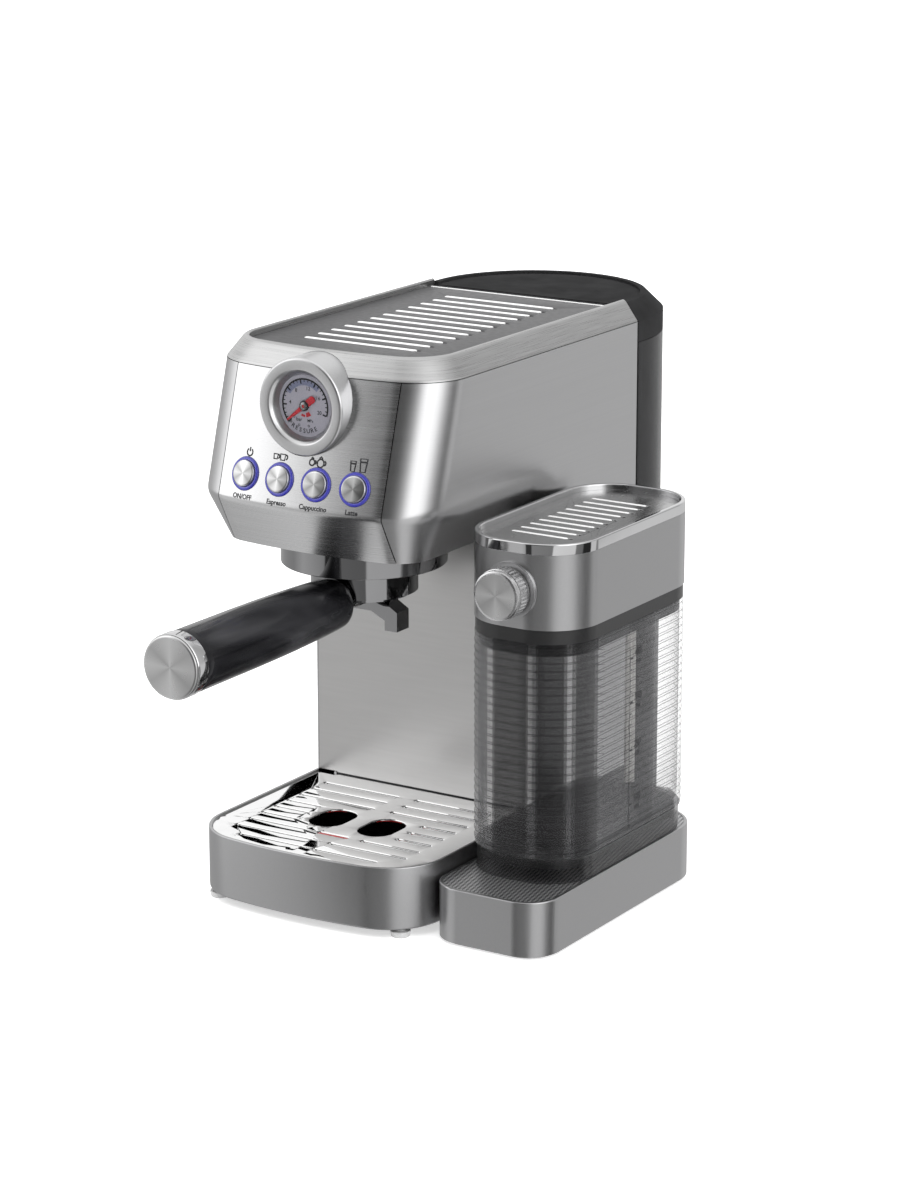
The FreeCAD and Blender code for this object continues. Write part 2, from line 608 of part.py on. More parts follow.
# ---------------------------------------------------------------- water tank
def make_tank():
    tank = tank_block(0, TANK_FLOOR + 4.4, TANK_TOP)
    foot = tank_block(2.6, TANK_FLOOR, TANK_FLOOR + 5)
    room = tank_block(TANK_WALL, TANK_FLOOR + 7.4, TANK_TOP + 5)
    sump = tank_block(5.0, TANK_FLOOR + 2.4, TANK_FLOOR + 10)
    tank = tank.fuse(foot).cut(room).cut(sump)
    tank = tank.cut(rod(0, VALVE_Y, 50, 6.0, 30))
    save("water_tank", tank.removeSplitter())

    valve = fuse([rod(0, VALVE_Y, 57.5, 5.95, 9), rod(0, VALVE_Y, TANK_FLOOR + 2.45, 9.5, 2.0)])
    save("tank_valve", valve)

    skirt = tank_block(0, TANK_TOP + 0.15, SEAM_Z)
    bevel = loft(tank_plan(BODY_HALF, TANK_FRONT, TANK_CENTRE_Y, SEAM_Z),
                 tank_plan(LID_RIM_HALF, TANK_FRONT, LID_RIM_CENTRE_Y, LID_RIM_Z))
    tongue = box(-62.5, 62.5, HINGE_Y, TANK_FRONT + 4, HINGE_Z - 0.6, HINGE_Z + 0.6)
    knuckle = rod(-62.5, HINGE_Y, HINGE_Z, 0.6, 125, RIGHT)
    lid = skirt.fuse([bevel, tongue, knuckle])
    for side in (-1, 1):
        clearance = box(min(side * 62.6, side * 80), max(side * 62.6, side * 80), 137, 138.2, 306, 315)
        lid = lid.cut(clearance)
    recess = prism(tank_plan(61.4, 125.0, LID_RIM_CENTRE_Y, 310.4), 5)
    low_room = tank_block(TANK_WALL, 280, SEAM_Z)
    high_room = loft(tank_plan(BODY_HALF - TANK_WALL, TANK_FRONT + TANK_WALL, TANK_CENTRE_Y, SEAM_Z),
                     tank_plan(66.0, TANK_FRONT + TANK_WALL, LID_RIM_CENTRE_Y + 0.6, 308.6))
    lid = lid.cut(recess).cut(low_room).cut(high_room)
    plug = tank_block(TANK_WALL + 1.6, TANK_TOP - 2.5, TANK_TOP + 2)
    plug = plug.cut(tank_block(TANK_WALL + 3.6, 270, 300))
    bridge = tank_block(TANK_WALL - 0.5, TANK_TOP + 0.15, TANK_TOP + 2)
    bridge = bridge.cut(tank_block(TANK_WALL + 3.6, 270, 300))
    save("tank_lid", lid.fuse([plug, bridge]).removeSplitter())


# ---------------------------------------------------------------- milk unit
def make_milk_base():
    outer = prism(round_plan(MILK_X0 + 0.2, MILK_X1 - 0.1, MILK_BASE_FRONT, MILK_BASE_BACK, 19, 30, 1.5),
                  MILK_BASE_TOP - 1.5)
    top_edge = [e for e in outer.Edges if abs(e.CenterOfMass.z - MILK_BASE_TOP) < 0.01]
    outer = outer.makeFillet(0.8, top_edge)
    hollow = prism(round_plan(MILK_X0 + 2.4, MILK_X1 - 2.3, MILK_BASE_FRONT + 2.2, MILK_BASE_BACK - 2.2, 16.8, 27.8, 3.5),
                   24.5)
    seat = prism(round_plan(MILK_X0 + 2.2, MILK_X1 - 2.1, MILK_BASE_FRONT + 2.0, MILK_BASE_BACK - 2.0, 17, 28, 31.0), 5)
    base = outer.cut(hollow).cut(seat)
    dock = box(BODY_HALF, MILK_X0 + 1.0, 34, 62, 8, 30)
    save("milk_base", base.fuse(dock).removeSplitter())
    mat = prism(round_plan(MILK_X0 + 2.3, MILK_X1 - 2.2, MILK_BASE_FRONT + 2.1, MILK_BASE_BACK - 2.1, 16.9, 27.9, 31.0), 1.1)
    save("milk_mat", mat)


def make_milk_jar():
    wall = milk_block(0, JAR_FLOOR, JAR_TOP)
    skirt = milk_block(1.6, MILK_BASE_TOP, JAR_FLOOR + 2)
    room = milk_block(2.4, JAR_FLOOR + 3.0, JAR_TOP + 5)
    under = milk_block(3.6, MILK_BASE_TOP - 1, JAR_FLOOR)
    save("milk_jar", wall.fuse(skirt).cut(room).cut(under).removeSplitter())
    save("milk_jar_foot", milk_block(3.8, MILK_BASE_TOP + 0.6, JAR_FLOOR - 0.1))


def make_milk_head():
    shell = milk_block(0, HEAD_BOTTOM, MILK_RING_Z)
    room = milk_block(2.0, HEAD_BOTTOM + 2.0, MILK_RING_Z + 1)
    shell = shell.cut(room)
    pocket_wall = box(MILK_X0 + 1, 88.0, -37, 21, HEAD_BOTTOM + 0.5, 191.0)
    pocket = box(MILK_X0 - 1, 85.6, -34.6, 18.6, 177.6, 188.4)
    collar = rod(MILK_MID, MILK_Y0 - 2.2, KNOB_Z, 15.6, 3.0, BACK)
    shell = shell.fuse([pocket_wall, collar]).cut(pocket)
    shell = shell.cut(rod(80.7, -29.6, 176.6, 2.06, 13))
    shell = shell.cut(rod(MILK_MID, MILK_Y0 - 5, KNOB_Z, 3.06, 12, BACK))
    shell = shell.cut(rod(MILK_MID, 66, HEAD_BOTTOM - 1, 3.2, 5))
    shell = shell.cut(rod(MILK_X0 - 1, PORT_Y, PORT_Z, 3.0, 4, RIGHT))
    save("milk_head_shell", shell.removeSplitter())

    ring = milk_block(0, MILK_RING_Z, MILK_TOP).cut(milk_block(3.0, MILK_RING_Z - 1, MILK_TOP + 1))
    shelf = milk_block(2.0, MILK_RING_Z, MILK_RING_Z + 1.2).cut(milk_block(6.0, MILK_RING_Z - 1, MILK_TOP))
    ring = ring.fuse(shelf)
    rim_edges = [e for e in ring.Edges if abs(e.CenterOfMass.z - MILK_TOP) < 0.01]
    save("milk_trim_ring", ring.makeFillet(0.8, rim_edges).removeSplitter())

    plate = milk_block(3.1, MILK_RING_Z + 1.25, MILK_RING_Z + 2.75)
    for i in range(10):
        plate = plate.cut(slot(MILK_MID - 19, MILK_MID + 19, -31.7 + 9.45 * i, 2.6, 215, 219))
    save("milk_top_plate", plate)

    seal = milk_block(0.6, JAR_TOP + 0.1, HEAD_BOTTOM)
    plug = milk_block(2.7, JAR_TOP - 7, JAR_TOP + 1)
    seal = seal.fuse(plug).cut(milk_block(5.5, JAR_TOP - 8, JAR_TOP - 1))
    seal = seal.cut(rod(MILK_MID, 66, 150, 3.05, 40))
    save("milk_gasket", seal.removeSplitter())
    save("pickup_tube", pipe(MILK_MID, 66, 53, 3.0, 2.0, 142))

    valve = box(96, 127, -46, 20, 178, 206)
    valve = valve.fuse([rod(MILK_MID, 19, 192, 5.0, 30, BACK), rod(MILK_MID, 66, 184, 6.0, 16)])
    valve = valve.fuse(box(MILK_MID - 5, MILK_MID + 5, 48, 66, 187, 197))
    valve = valve.cut(rod(MILK_MID, 66, 180, 3.05, 15.2))
    valve = valve.cut(rod(MILK_MID, -50, KNOB_Z, 3.06, 14, BACK))
    inlet = rod(MILK_X0 + 2.1, PORT_Y, PORT_Z, 5.0, 29, RIGHT)
    valve = valve.fuse(inlet).cut(rod(MILK_X0, PORT_Y, PORT_Z, 2.2, 26, RIGHT))
    save("froth_valve", valve.removeSplitter())

    knob = rod(MILK_MID, -79.6, KNOB_Z, 14.0, 13.4, BACK)
    face_edges = [e for e in knob.Edges if abs(e.CenterOfMass.y + 79.6) < 0.01]
    knob = knob.makeFillet(0.9, face_edges)
    spindle = rod(MILK_MID, -67, KNOB_Z, 3.0, 30, BACK)
    save("froth_knob", knob.fuse(spindle).removeSplitter())

    arm = box(76.4, 85.0, -29.6, 12.8, 178.2, 187.8)
    arm = arm.fuse([rod(80.7, -29.6, 178.2, 4.3, 9.6), rod(80.7, 12.8, 178.2, 4.3, 9.6)])
    arm = arm.fuse(rod(80.7, -29.6, 177.0, 2.0, 12.0))
    arm = arm.cut(rod(80.7, 12.8, 175, 2.2, 10))
    save("milk_spout", arm.removeSplitter())


os.makedirs("parts", exist_ok=True)
make_panels()
make_underside()
make_top()
make_base()
make_tray()
make_group()
make_holder()
make_handle()
make_gauge()
make_buttons()
make_insides()
make_tank()
make_milk_base()
make_milk_jar()
make_milk_head()
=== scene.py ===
"""Looks of the espresso machine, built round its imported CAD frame.

Shapes are written in millimetres in the machine's own frame (x = 0 is its mid-plane,
-Y the front, z = 0 the worktop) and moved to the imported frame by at().
"""
from math import acos, asin, atan2, cos, degrees, hypot, pi, radians, sin, sqrt

import bmesh
import bpy
from mathutils import Matrix, Vector


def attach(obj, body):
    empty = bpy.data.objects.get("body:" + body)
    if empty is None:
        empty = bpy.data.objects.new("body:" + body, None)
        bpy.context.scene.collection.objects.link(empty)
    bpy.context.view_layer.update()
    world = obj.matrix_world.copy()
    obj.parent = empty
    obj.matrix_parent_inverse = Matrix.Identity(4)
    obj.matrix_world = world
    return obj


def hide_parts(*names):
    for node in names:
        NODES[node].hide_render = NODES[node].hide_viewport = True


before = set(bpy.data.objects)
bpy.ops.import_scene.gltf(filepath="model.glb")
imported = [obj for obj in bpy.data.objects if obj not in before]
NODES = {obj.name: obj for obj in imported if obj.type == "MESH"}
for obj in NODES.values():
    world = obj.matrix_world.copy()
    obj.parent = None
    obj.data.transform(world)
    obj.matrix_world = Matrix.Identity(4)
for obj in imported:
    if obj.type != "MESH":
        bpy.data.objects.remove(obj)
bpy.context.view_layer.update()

MM = 0.001
FOOT_X = 36.8               # centre of the footprint
FOOT_Y = 3.5
BACKWARD = (0, 1, 0)

BODY_HALF = 74.0
COLUMN_FRONT = 24.3
COLUMN_FOOT = 40.0
BODY_BACK = 136.0
HEAD_BOW = 300.0
HEAD_CORNER = 31.0
CHIN_Z = 205.0
CREASE_Z = 231.7            # fold between chin and front panel
CREASE_FRONT = -103.4
CREASE_BLEND = 1.8
SEAM_Z = 302.0              # joint of the panels and the top cover
SEAM_FRONT = -82.8
PANEL_SLOPE = (SEAM_FRONT - CREASE_FRONT) / (SEAM_Z - CREASE_Z)
FASCIA_EDGE = 52.25
BUTTON_Z = 246.2
BUTTON_XS = [23.5 * (i - 1.5) for i in range(4)]
BUTTON_NAMES = ["button_power", "button_espresso", "button_cappuccino", "button_latte"]
GAUGE_Z = 286.3
GAUGE_FRONT = -96.0
GAUGE_R = 26.6
GAUGE_HOLE = GAUGE_R + 0.12
DIAL_DEPTH = 5.0
DIAL_START = 222            # bearing of the dial's zero, degrees
DIAL_SWEEP = 240
HANDLE_Z = 172.2
TRAY_FRONT = -109.2
TRAY_BACK = 23.8
TRAY_BOW = 330.0
TRAY_CORNER = 34.0
TRAY_BOTTOM = 4.7
TRAY_TOP = 40.6
MILK_X0 = 75.4              # outline of the jar and the milk head
MILK_X1 = 147.6
MILK_Y0 = -63.6
MILK_Y1 = 83.3
MILK_CORNER = 29.5
MILK_MID = 111.5
MILK_BASE_FRONT = -91.5
MILK_BASE_BACK = 92.0
JAR_LOW = 46.6
JAR_HIGH = 166.2
RIB_START = 49.6
RIB_PITCH = 4.42
KNOB_Z = 194.8

CAMERA_PLACE = (1.0430, -1.6594, 0.6976)
CAMERA_BEARING = 32.04      # degrees right of the front
CAMERA_HEIGHT = 15.05       # degrees looking down
CAMERA_LENS = 109.71
CAMERA_SHIFT = (-0.01298, -0.01121)


def at(x, y, z):
    """Machine millimetres to frame metres."""
    return Vector(((x - FOOT_X) * MM, (y - FOOT_Y) * MM, z * MM))


# ---- materials
def settle(thing, settings):
    for key, value in settings.items():
        setattr(thing, key, value)
    return thing


def node(tree, kind, inputs=None, **settings):
    """New node. inputs gives each named socket its value, or the output that feeds it."""
    made = settle(tree.nodes.new(kind), settings)
    feed(tree, made, inputs or {})
    return made


def feed(tree, made, inputs):
    for key, value in inputs.items():
        if isinstance(value, bpy.types.NodeSocket):
            tree.links.new(value, made.inputs[key])
        else:
            made.inputs[key].default_value = value


def coordinates(tree, scale, turn=(0, 0, 0)):
    """Object coordinates, stretched by scale."""
    place = node(tree, "ShaderNodeTexCoord").outputs["Object"]
    mapping = node(tree, "ShaderNodeMapping", {"Scale": scale, "Rotation": turn, "Vector": place})
    return mapping.outputs["Vector"]


def noise(tree, scale, detail=3.0, turn=(0, 0, 0), distortion=0.0):
    place = coordinates(tree, scale, turn)
    inputs = {"Scale": 1.0, "Detail": detail, "Distortion": distortion, "Vector": place}
    return node(tree, "ShaderNodeTexNoise", inputs).outputs["Fac"]


def ranged(tree, source, low, high, start=0.3, end=0.7):
    inputs = {"From Min": start, "From Max": end, "To Min": low, "To Max": high, "Value": source}
    return node(tree, "ShaderNodeMapRange", inputs).outputs["Result"]


def ramp(tree, source, stops):
    made = node(tree, "ShaderNodeValToRGB", {"Fac": source})
    band = made.color_ramp
    while len(band.elements) < len(stops):
        band.elements.new(0.5)
    for element, (place, colour) in zip(band.elements, stops):
        element.position = place
        element.color = (*colour, 1.0)
    return made.outputs["Color"]


def grey_stops(stops):
    return [(place, (shade,) * 3) for place, shade in stops]


def math_node(tree, operation, *values):
    """Scalar operation on values or outputs."""
    return node(tree, "ShaderNodeMath", dict(enumerate(values)), operation=operation).outputs["Value"]


def relief(tree, shader, height, strength, depth):
    bump = node(tree, "ShaderNodeBump", {"Strength": strength, "Distance": depth, "Height": height})
    feed(tree, shader, {"Normal": bump.outputs["Normal"]})


GRAIN_DEPTH = 0.0001
MAT = {}


def finish(name, colour, metal=0.0, rough=0.4, spread=0.08, tone=0.06, scale=200, detail=3.0,
           bump=0.0, coat=0.0, aniso=0.0, radial=False, specular=0.5, emission=0.0):
    """Principled material whose colour, roughness and bump follow one stretched noise."""
    made = bpy.data.materials.new(name)
    MAT[name] = made
    made.use_nodes = True
    tree = made.node_tree
    shader = tree.nodes["Principled BSDF"]
    grain = noise(tree, (scale,) * 3 if isinstance(scale, int) else scale, detail)
    dark = tuple(c * (1 - tone) for c in colour)
    light = tuple(min(1.0, c * (1 + tone)) for c in colour)
    feed(tree, shader, {
        "Metallic": metal, "Specular IOR Level": specular, "Coat Weight": coat, "Coat Roughness": 0.06,
        "Base Color": ramp(tree, grain, [(0.3, dark), (0.7, light)]),
        "Roughness": ranged(tree, grain, max(0.02, rough - spread), rough + spread)})
    if bump:
        relief(tree, shader, grain, bump, GRAIN_DEPTH)
    if aniso:
        shader.inputs["Anisotropic"].default_value = aniso
    if radial:
        tangent = node(tree, "ShaderNodeTangent", direction_type="RADIAL", axis="Z")
        feed(tree, shader, {"Tangent": tangent.outputs["Tangent"]})
    if emission:
        feed(tree, shader, {"Emission Color": (1, 1, 1, 1), "Emission Strength": emission})
    return made


def see_through(name, tint, colour, clear, scale=60, specular=0.5, coat=0.3, limit=1.0):
    """A glossy skin mixed with tinted clearness: clear is the share that shows what is behind."""
    made = finish(name, colour, 0, 0.04, 0.02, 0.15, scale, coat=coat, specular=specular)
    tree = made.node_tree
    window = node(tree, "ShaderNodeBsdfTransparent", {"Color": (*tint, 1.0)})
    edge = node(tree, "ShaderNodeLayerWeight", {"Blend": 0.25})
    share = ranged(tree, edge.outputs["Facing"], 1.0 - clear, limit, 0.0, 1.0)
    skin = tree.nodes["Principled BSDF"].outputs["BSDF"]
    mix = node(tree, "ShaderNodeMixShader", {"Fac": share, 1: window.outputs["BSDF"], 2: skin})
    feed(tree, tree.nodes["Material Output"], {"Surface": mix.outputs["Shader"]})
    return made


BRUSH = (9, 9, 2200)
finish("steel_panel", (0.54, 0.54, 0.545), 1, 0.30, 0.02, 0.02, BRUSH, 2, 0.012)
finish("steel_front", (0.62, 0.62, 0.625), 1, 0.25, 0.05, 0.06, BRUSH, 3, 0.04)
finish("steel_bevel", (0.47, 0.47, 0.47), 1, 0.30, 0.06, 0.12, (30, 30, 2000), 3, 0.07)
finish("steel_column", (0.60, 0.595, 0.59), 1, 0.32, 0.02, 0.02, (30, 30, 500), 2, 0.01)
finish("satin_grey", (0.44, 0.44, 0.445), 1, 0.34, 0.03, 0.02, 900, 2, 0.03)
finish("dark_plate", (0.075, 0.075, 0.077), 0, 0.35, 0.04, 0.05, 300, 2, specular=0.1)
# Near-white strips on the dark plates: painted reflection on their embossed bars.
finish("slot_bars_painted_reflection", (0.93, 0.93, 0.93), 0, 0.3, 0.03, 0.02, 300, 2)
# Near-white, half metallic: a lit copy of the grid steel, painted reflection on the bars and studs in the
# slots.
finish("grid_bars_painted_reflection", (0.86, 0.86, 0.86), 0.5, 0.15, 0.03, 0.03, 300, 2)
finish("polished_steel", (0.60, 0.60, 0.605), 1, 0.05, 0.02, 0.02, 60, 2)
# Polished chrome at about half the base brightness: painted dark reflection on the group collar, filter holder
# and spout block.
finish("chrome_painted_dark", (0.31, 0.31, 0.315), 1, 0.06, 0.02, 0.02, 60, 2)
finish("grid_steel", (0.92, 0.92, 0.92), 1, 0.035, 0.012, 0.02, 80, 2)
finish("satin_aluminium", (0.62, 0.62, 0.625), 1, 0.28, 0.05, 0.05, 400, 3, 0.05)
finish("gauge_metal", (0.62, 0.62, 0.625), 1, 0.32, 0.03, 0.03, 900, 2, 0.02)
finish("cast_aluminium", (0.50, 0.50, 0.50), 1, 0.5, 0.1, 0.1, 700, 4, 0.4)
finish("milk_plate", (0.50, 0.50, 0.50), 1, 0.24, 0.04, 0.04, (500, 60, 500), 3, 0.04)
finish("black_plastic", (0.022, 0.022, 0.024), 0, 0.42, 0.08, 0.2, 1200, 3, 0.15)
finish("rubber_black", (0.018, 0.018, 0.018), 0, 0.55, 0.08, 0.2, 900, 3, 0.2)
finish("gasket", (0.012, 0.012, 0.0125), 0, 0.35, 0.05, 0.1, 700, 3, 0.05)
finish("foot_rubber", (0.55, 0.55, 0.55), 0, 0.5, 0.08, 0.1, 900, 3, 0.2)
finish("silicone", (0.72, 0.71, 0.68), 0, 0.45, 0.08, 0.05, 300, 3, 0.05)
finish("red_plastic", (0.50, 0.02, 0.02), 0, 0.3, 0.05, 0.08, 300, 2)
finish("needle_red", (0.62, 0.015, 0.03), 0, 0.35, 0.05, 0.08, 300, 2)
finish("brass", (0.72, 0.52, 0.22), 1, 0.3, 0.06, 0.08, 500, 3, 0.1)
finish("circuit_board", (0.03, 0.22, 0.09), 0, 0.35, 0.08, 0.25, 250, 4, 0.1)
finish("white_plastic", (0.75, 0.75, 0.73), 0, 0.4, 0.05, 0.03, 400, 2)
finish("dial_face", (0.46, 0.45, 0.51), 0, 0.5, 0.03, 0.03, 500, 2)
finish("dial_zone", (0.22, 0.24, 0.36), 0, 0.5, 0.03, 0.05, 500, 2)
finish("print_black", (0.012, 0.012, 0.014), 0, 0.5, 0.05, 0.2, 900, 2)
finish("print_red", (0.55, 0.02, 0.03), 0, 0.5, 0.05, 0.1, 900, 2)
see_through("smoked_plastic", (0.30, 0.30, 0.31), (0.03, 0.03, 0.031), 0.72, coat=0.1, specular=0.35)
see_through("smoked_lid", (0.14, 0.14, 0.145), (0.045, 0.045, 0.046), 0.55, specular=0.0, coat=0.0)
see_through("skirt_clear", (0.80, 0.80, 0.81), (0.05, 0.05, 0.05), 0.96)
see_through("lens_clear", (0.98, 0.98, 0.985), (0.02, 0.02, 0.02), 0.99, coat=0.0)


def patterned(tree, colour):
    """Give a finish its own colour pattern."""
    feed(tree, tree.nodes["Principled BSDF"], {"Base Color": colour})


def marbled_grip():
    """Glossy black with a faint smoky figure along the handle."""
    made = finish("grip_plastic", (0.012, 0.012, 0.013), 0, 0.14, 0.04, 0.2, (60, 20, 60), 2,
                  coat=0.05, specular=0.2)
    tree = made.node_tree
    smoke = noise(tree, (26, 26, 9), 2.5, (0.5, 0.3, 0), 1.6)
    stops = [(0.42, (0.006, 0.006, 0.007)), (0.55, (0.016, 0.016, 0.018)), (0.70, (0.035, 0.035, 0.038))]
    patterned(tree, ramp(tree, smoke, stops))


def spun_metal_painted_fans(name, dark, light):
    """Turned metal face: fine rings, with two opposite painted highlight fans about the turning axis and
    painted dark fans between them.
    """
    tree = finish(name, (0.6, 0.6, 0.6), 1, 0.28, 0.01, 0.04, 150, 2, aniso=0.6, radial=True).node_tree
    place = node(tree, "ShaderNodeTexCoord").outputs["Object"]
    around = node(tree, "ShaderNodeTexGradient", {"Vector": place}, gradient_type="RADIAL")
    middle = 0.6 * dark + 0.4 * light
    # Painted highlight and shade: pale and dark fans of base colour by bearing round the axis.
    half = [(0.0, middle), (0.10, dark), (0.25, light), (0.40, dark)]
    stops = half + [(place + 0.5, shade) for place, shade in half] + [(1.0, middle)]
    patterned(tree, ramp(tree, around.outputs["Fac"], grey_stops(stops)))


def mesh_mat():
    """Fine square mesh of the drip mat under the milk jar."""
    tree = finish("mesh_mat", (0.30, 0.30, 0.31), 0.8, 0.35, 0.05, 0.05, 900, 2).node_tree
    threads = coordinates(tree, (620, 620, 620), (0, 0, 0.6))
    check = node(tree, "ShaderNodeTexChecker", {
        "Scale": 1.0, "Vector": threads, "Color1": (0.10, 0.10, 0.105, 1), "Color2": (0.62, 0.62, 0.63, 1)})
    relief(tree, tree.nodes["Principled BSDF"], check.outputs["Fac"], 0.5, 0.0003)
    patterned(tree, check.outputs["Color"])


def painted_glow_ring():
    """Blue-violet ring, paler towards its inner edge: a painted glow of the lit ring."""
    tree = finish("blue_ring", (0.03, 0.03, 0.26), 0, 0.22, 0.04, 0.1, 300, 2, coat=0.4).node_tree
    place = node(tree, "ShaderNodeTexCoord").outputs["Object"]
    flat = node(tree, "ShaderNodeVectorMath", {0: place, 1: (1, 1, 0)}, operation="MULTIPLY")
    length = node(tree, "ShaderNodeVectorMath", {0: flat.outputs["Vector"]}, operation="LENGTH")
    across = ranged(tree, length.outputs["Value"], 0.0, 1.0, 0.0074, 0.0093)
    # Painted glow: pale lilac at the inner edge fading to deep blue at the outer edge.
    stops = [(0.0, (0.36, 0.36, 0.72)), (0.3, (0.05, 0.05, 0.40)), (1.0, (0.02, 0.02, 0.22))]
    patterned(tree, ramp(tree, across, stops))


def painted_reflection_stripes(tree, source, stops):
    """Hard-edged grey bands along one wall of the jar, painted reflections: each stop is (millimetres, shade).
    """
    start = stops[0][0]
    end = stops[-1][0]
    listed = [((value - start) / (end - start), shade) for value, shade in stops[:-1]]
    colour = ramp(tree, source, grey_stops(listed))
    colour.node.color_ramp.interpolation = "CONSTANT"
    return colour


def jar_plastic():
    """Clear jar plastic: thin see-through wall, upright painted reflection bands and a painted shade line along
    each of the ribs.
    """
    made = see_through("clear_plastic", (0.9, 0.9, 0.9), (0.16, 0.16, 0.165), 0.96, coat=0.0, limit=0.6)
    tree = made.node_tree
    object_place = node(tree, "ShaderNodeTexCoord").outputs["Object"]
    place = node(tree, "ShaderNodeSeparateXYZ", {"Vector": object_place}).outputs
    left_front = at(MILK_X0, MILK_Y0, 0)
    right_back = at(MILK_X1, MILK_Y1, 0)
    across = ranged(tree, place["X"], 0.0, 1.0, left_front.x, right_back.x)
    along = ranged(tree, place["Y"], 0.0, 1.0, left_front.y, right_back.y)
    # Painted reflections: upright grey bands across the front wall and along the right side.
    front = painted_reflection_stripes(tree, across, [
        (MILK_X0, 1.0), (99.4, 0.46), (120.6, 1.0), (126.1, 0.5), (139.0, 1.0), (MILK_X1, 1.0)])
    side = painted_reflection_stripes(tree, along, [
        (MILK_Y0, 1.0), (-51.0, 0.46), (-33.0, 0.99), (4.0, 0.74), (28.7, 1.0), (MILK_Y1, 1.0)])
    on_side = ranged(tree, along, 0.0, 1.0, 0.099, 0.101)
    wall = node(tree, "ShaderNodeMix", {"Factor": on_side, "A": front, "B": side}, data_type="RGBA")
    # Painted shade: a darker line at the crest of each of the ribs, left off near the left and back walls.
    ribs_up = math_node(tree, "MULTIPLY_ADD", place["Z"], 1 / (RIB_PITCH * MM), -RIB_START / RIB_PITCH)
    rib_shade_stops = grey_stops([(0.0, 0.25), (0.08, 1.0), (0.92, 1.0), (1.0, 0.25)])
    rib_shade = ramp(tree, math_node(tree, "FRACT", ribs_up), rib_shade_stops)
    off_left = math_node(tree, "GREATER_THAN", across, 0.06)
    off_back = math_node(tree, "LESS_THAN", along, 0.95)
    rib_shade_mask = math_node(tree, "MULTIPLY", off_left, off_back)
    tint = node(tree, "ShaderNodeMix", {"Factor": rib_shade_mask, "A": wall.outputs["Result"], "B": rib_shade},
                data_type="RGBA", blend_type="MULTIPLY")
    feed(tree, tree.nodes["Transparent BSDF"], {"Color": tint.outputs["Result"]})


spun_metal_painted_fans("spun_aluminium_painted_fans", 0.46, 0.74)
spun_metal_painted_fans("spun_button_painted_fans", 0.34, 0.85)
marbled_grip()
mesh_mat()
painted_glow_ring()
jar_plastic()


# ---- mesh helpers
def add(name, data):
    """New object in the scene."""
    obj = bpy.data.objects.new(name, data)
    bpy.context.scene.collection.objects.link(obj)
    return obj


def smooth(mesh, angle=35):
    mesh.polygons.foreach_set("use_smooth", [True] * len(mesh.polygons))
    mesh.set_sharp_from_angle(angle=radians(angle))


def modify(obj, kind, **settings):
    settle(obj.modifiers.new(kind.lower(), kind), settings)


def bake(obj):
    """Apply an object's modifiers to its mesh."""
    bpy.context.view_layer.update()
    view = bpy.context.evaluated_depsgraph_get()
    made = bpy.data.meshes.new_from_object(obj.evaluated_get(view))
    obj.modifiers.clear()
    old = obj.data
    obj.data = made
    bpy.data.meshes.remove(old)


def link(name, verts, faces, place=None, weld=True, outward=True):
    """New object from millimetre points: in the machine frame, or local to the matrix place."""
    mesh = bpy.data.meshes.new(name)
    points = [at(*v) for v in verts] if place is None else [Vector(v) * MM for v in verts]
    mesh.from_pydata(points, [], faces)
    work = bmesh.new()
    work.from_mesh(mesh)
    if weld:
        bmesh.ops.remove_doubles(work, verts=work.verts, dist=1e-6)
    if outward:
        bmesh.ops.recalc_face_normals(work, faces=work.faces)
    work.to_mesh(mesh)
    work.free()
    obj = add(name, mesh)
    if place is not None:
        obj.matrix_world = place
    return obj


def dress(obj, material, body, replaced=(), angle=35):
    """Give a finished piece its shading, material, slot and body."""
    smooth(obj.data, angle)
    obj.data.materials.clear()
    obj.data.materials.append(MAT[material])
    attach(obj, body)
    if replaced:
        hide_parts(*replaced)
    return obj


def cut(obj, cutters):
    """Take the cutters' volumes out of obj."""
    for cutter in cutters:
        modify(obj, "BOOLEAN", operation="DIFFERENCE", solver="EXACT", object=cutter)
    bake(obj)
    for cutter in cutters:
        bpy.data.objects.remove(cutter)


def thicken(obj, thickness):
    modify(obj, "SOLIDIFY", thickness=thickness * MM, offset=-1, use_even_offset=True)
    bake(obj)


def axis_place(x, y, z, direction=BACKWARD):
    """Matrix whose local Z runs along direction, at a machine point."""
    turn = Vector(direction).to_track_quat("Z", "Y").to_matrix().to_4x4()
    return Matrix.Translation(at(x, y, z)) @ turn


def lathe(name, profile, place, steps=96, ripple=None):
    """Turn (radius, height) points about local Z. ripple(angle, r, h) may change a radius.

    A profile that starts on the axis is open, and any other one is a closed ring.
    """
    closed = profile[0][0] > 0
    verts = []
    faces = []
    rows = len(profile)
    for i in range(steps):
        angle = 2 * pi * i / steps
        for r, h in profile:
            radius = ripple(angle, r, h) if ripple else r
            verts.append((radius * cos(angle), radius * sin(angle), h))
    for i in range(steps):
        j = (i + 1) % steps
        for k in range(rows if closed else rows - 1):
            m = (k + 1) % rows
            faces.append((i * rows + k, j * rows + k, j * rows + m, i * rows + m))
    obj = link(name, verts, faces, place)
    work = bmesh.new()
    work.from_mesh(obj.data)
    bmesh.ops.dissolve_degenerate(work, dist=1e-7, edges=work.edges)
    work.to_mesh(obj.data)
    work.free()
    return obj


def skin(count, rows, base=0, closed=False):
    """Quads between rows of count points; each row is closed on itself."""
    made = []
    for k in range(rows if closed else rows - 1):
        low = base + k * count
        high = base + (k + 1) % rows * count
        for i in range(count):
            j = (i + 1) % count
            made.append((low + i, low + j, high + j, high + i))
    return made


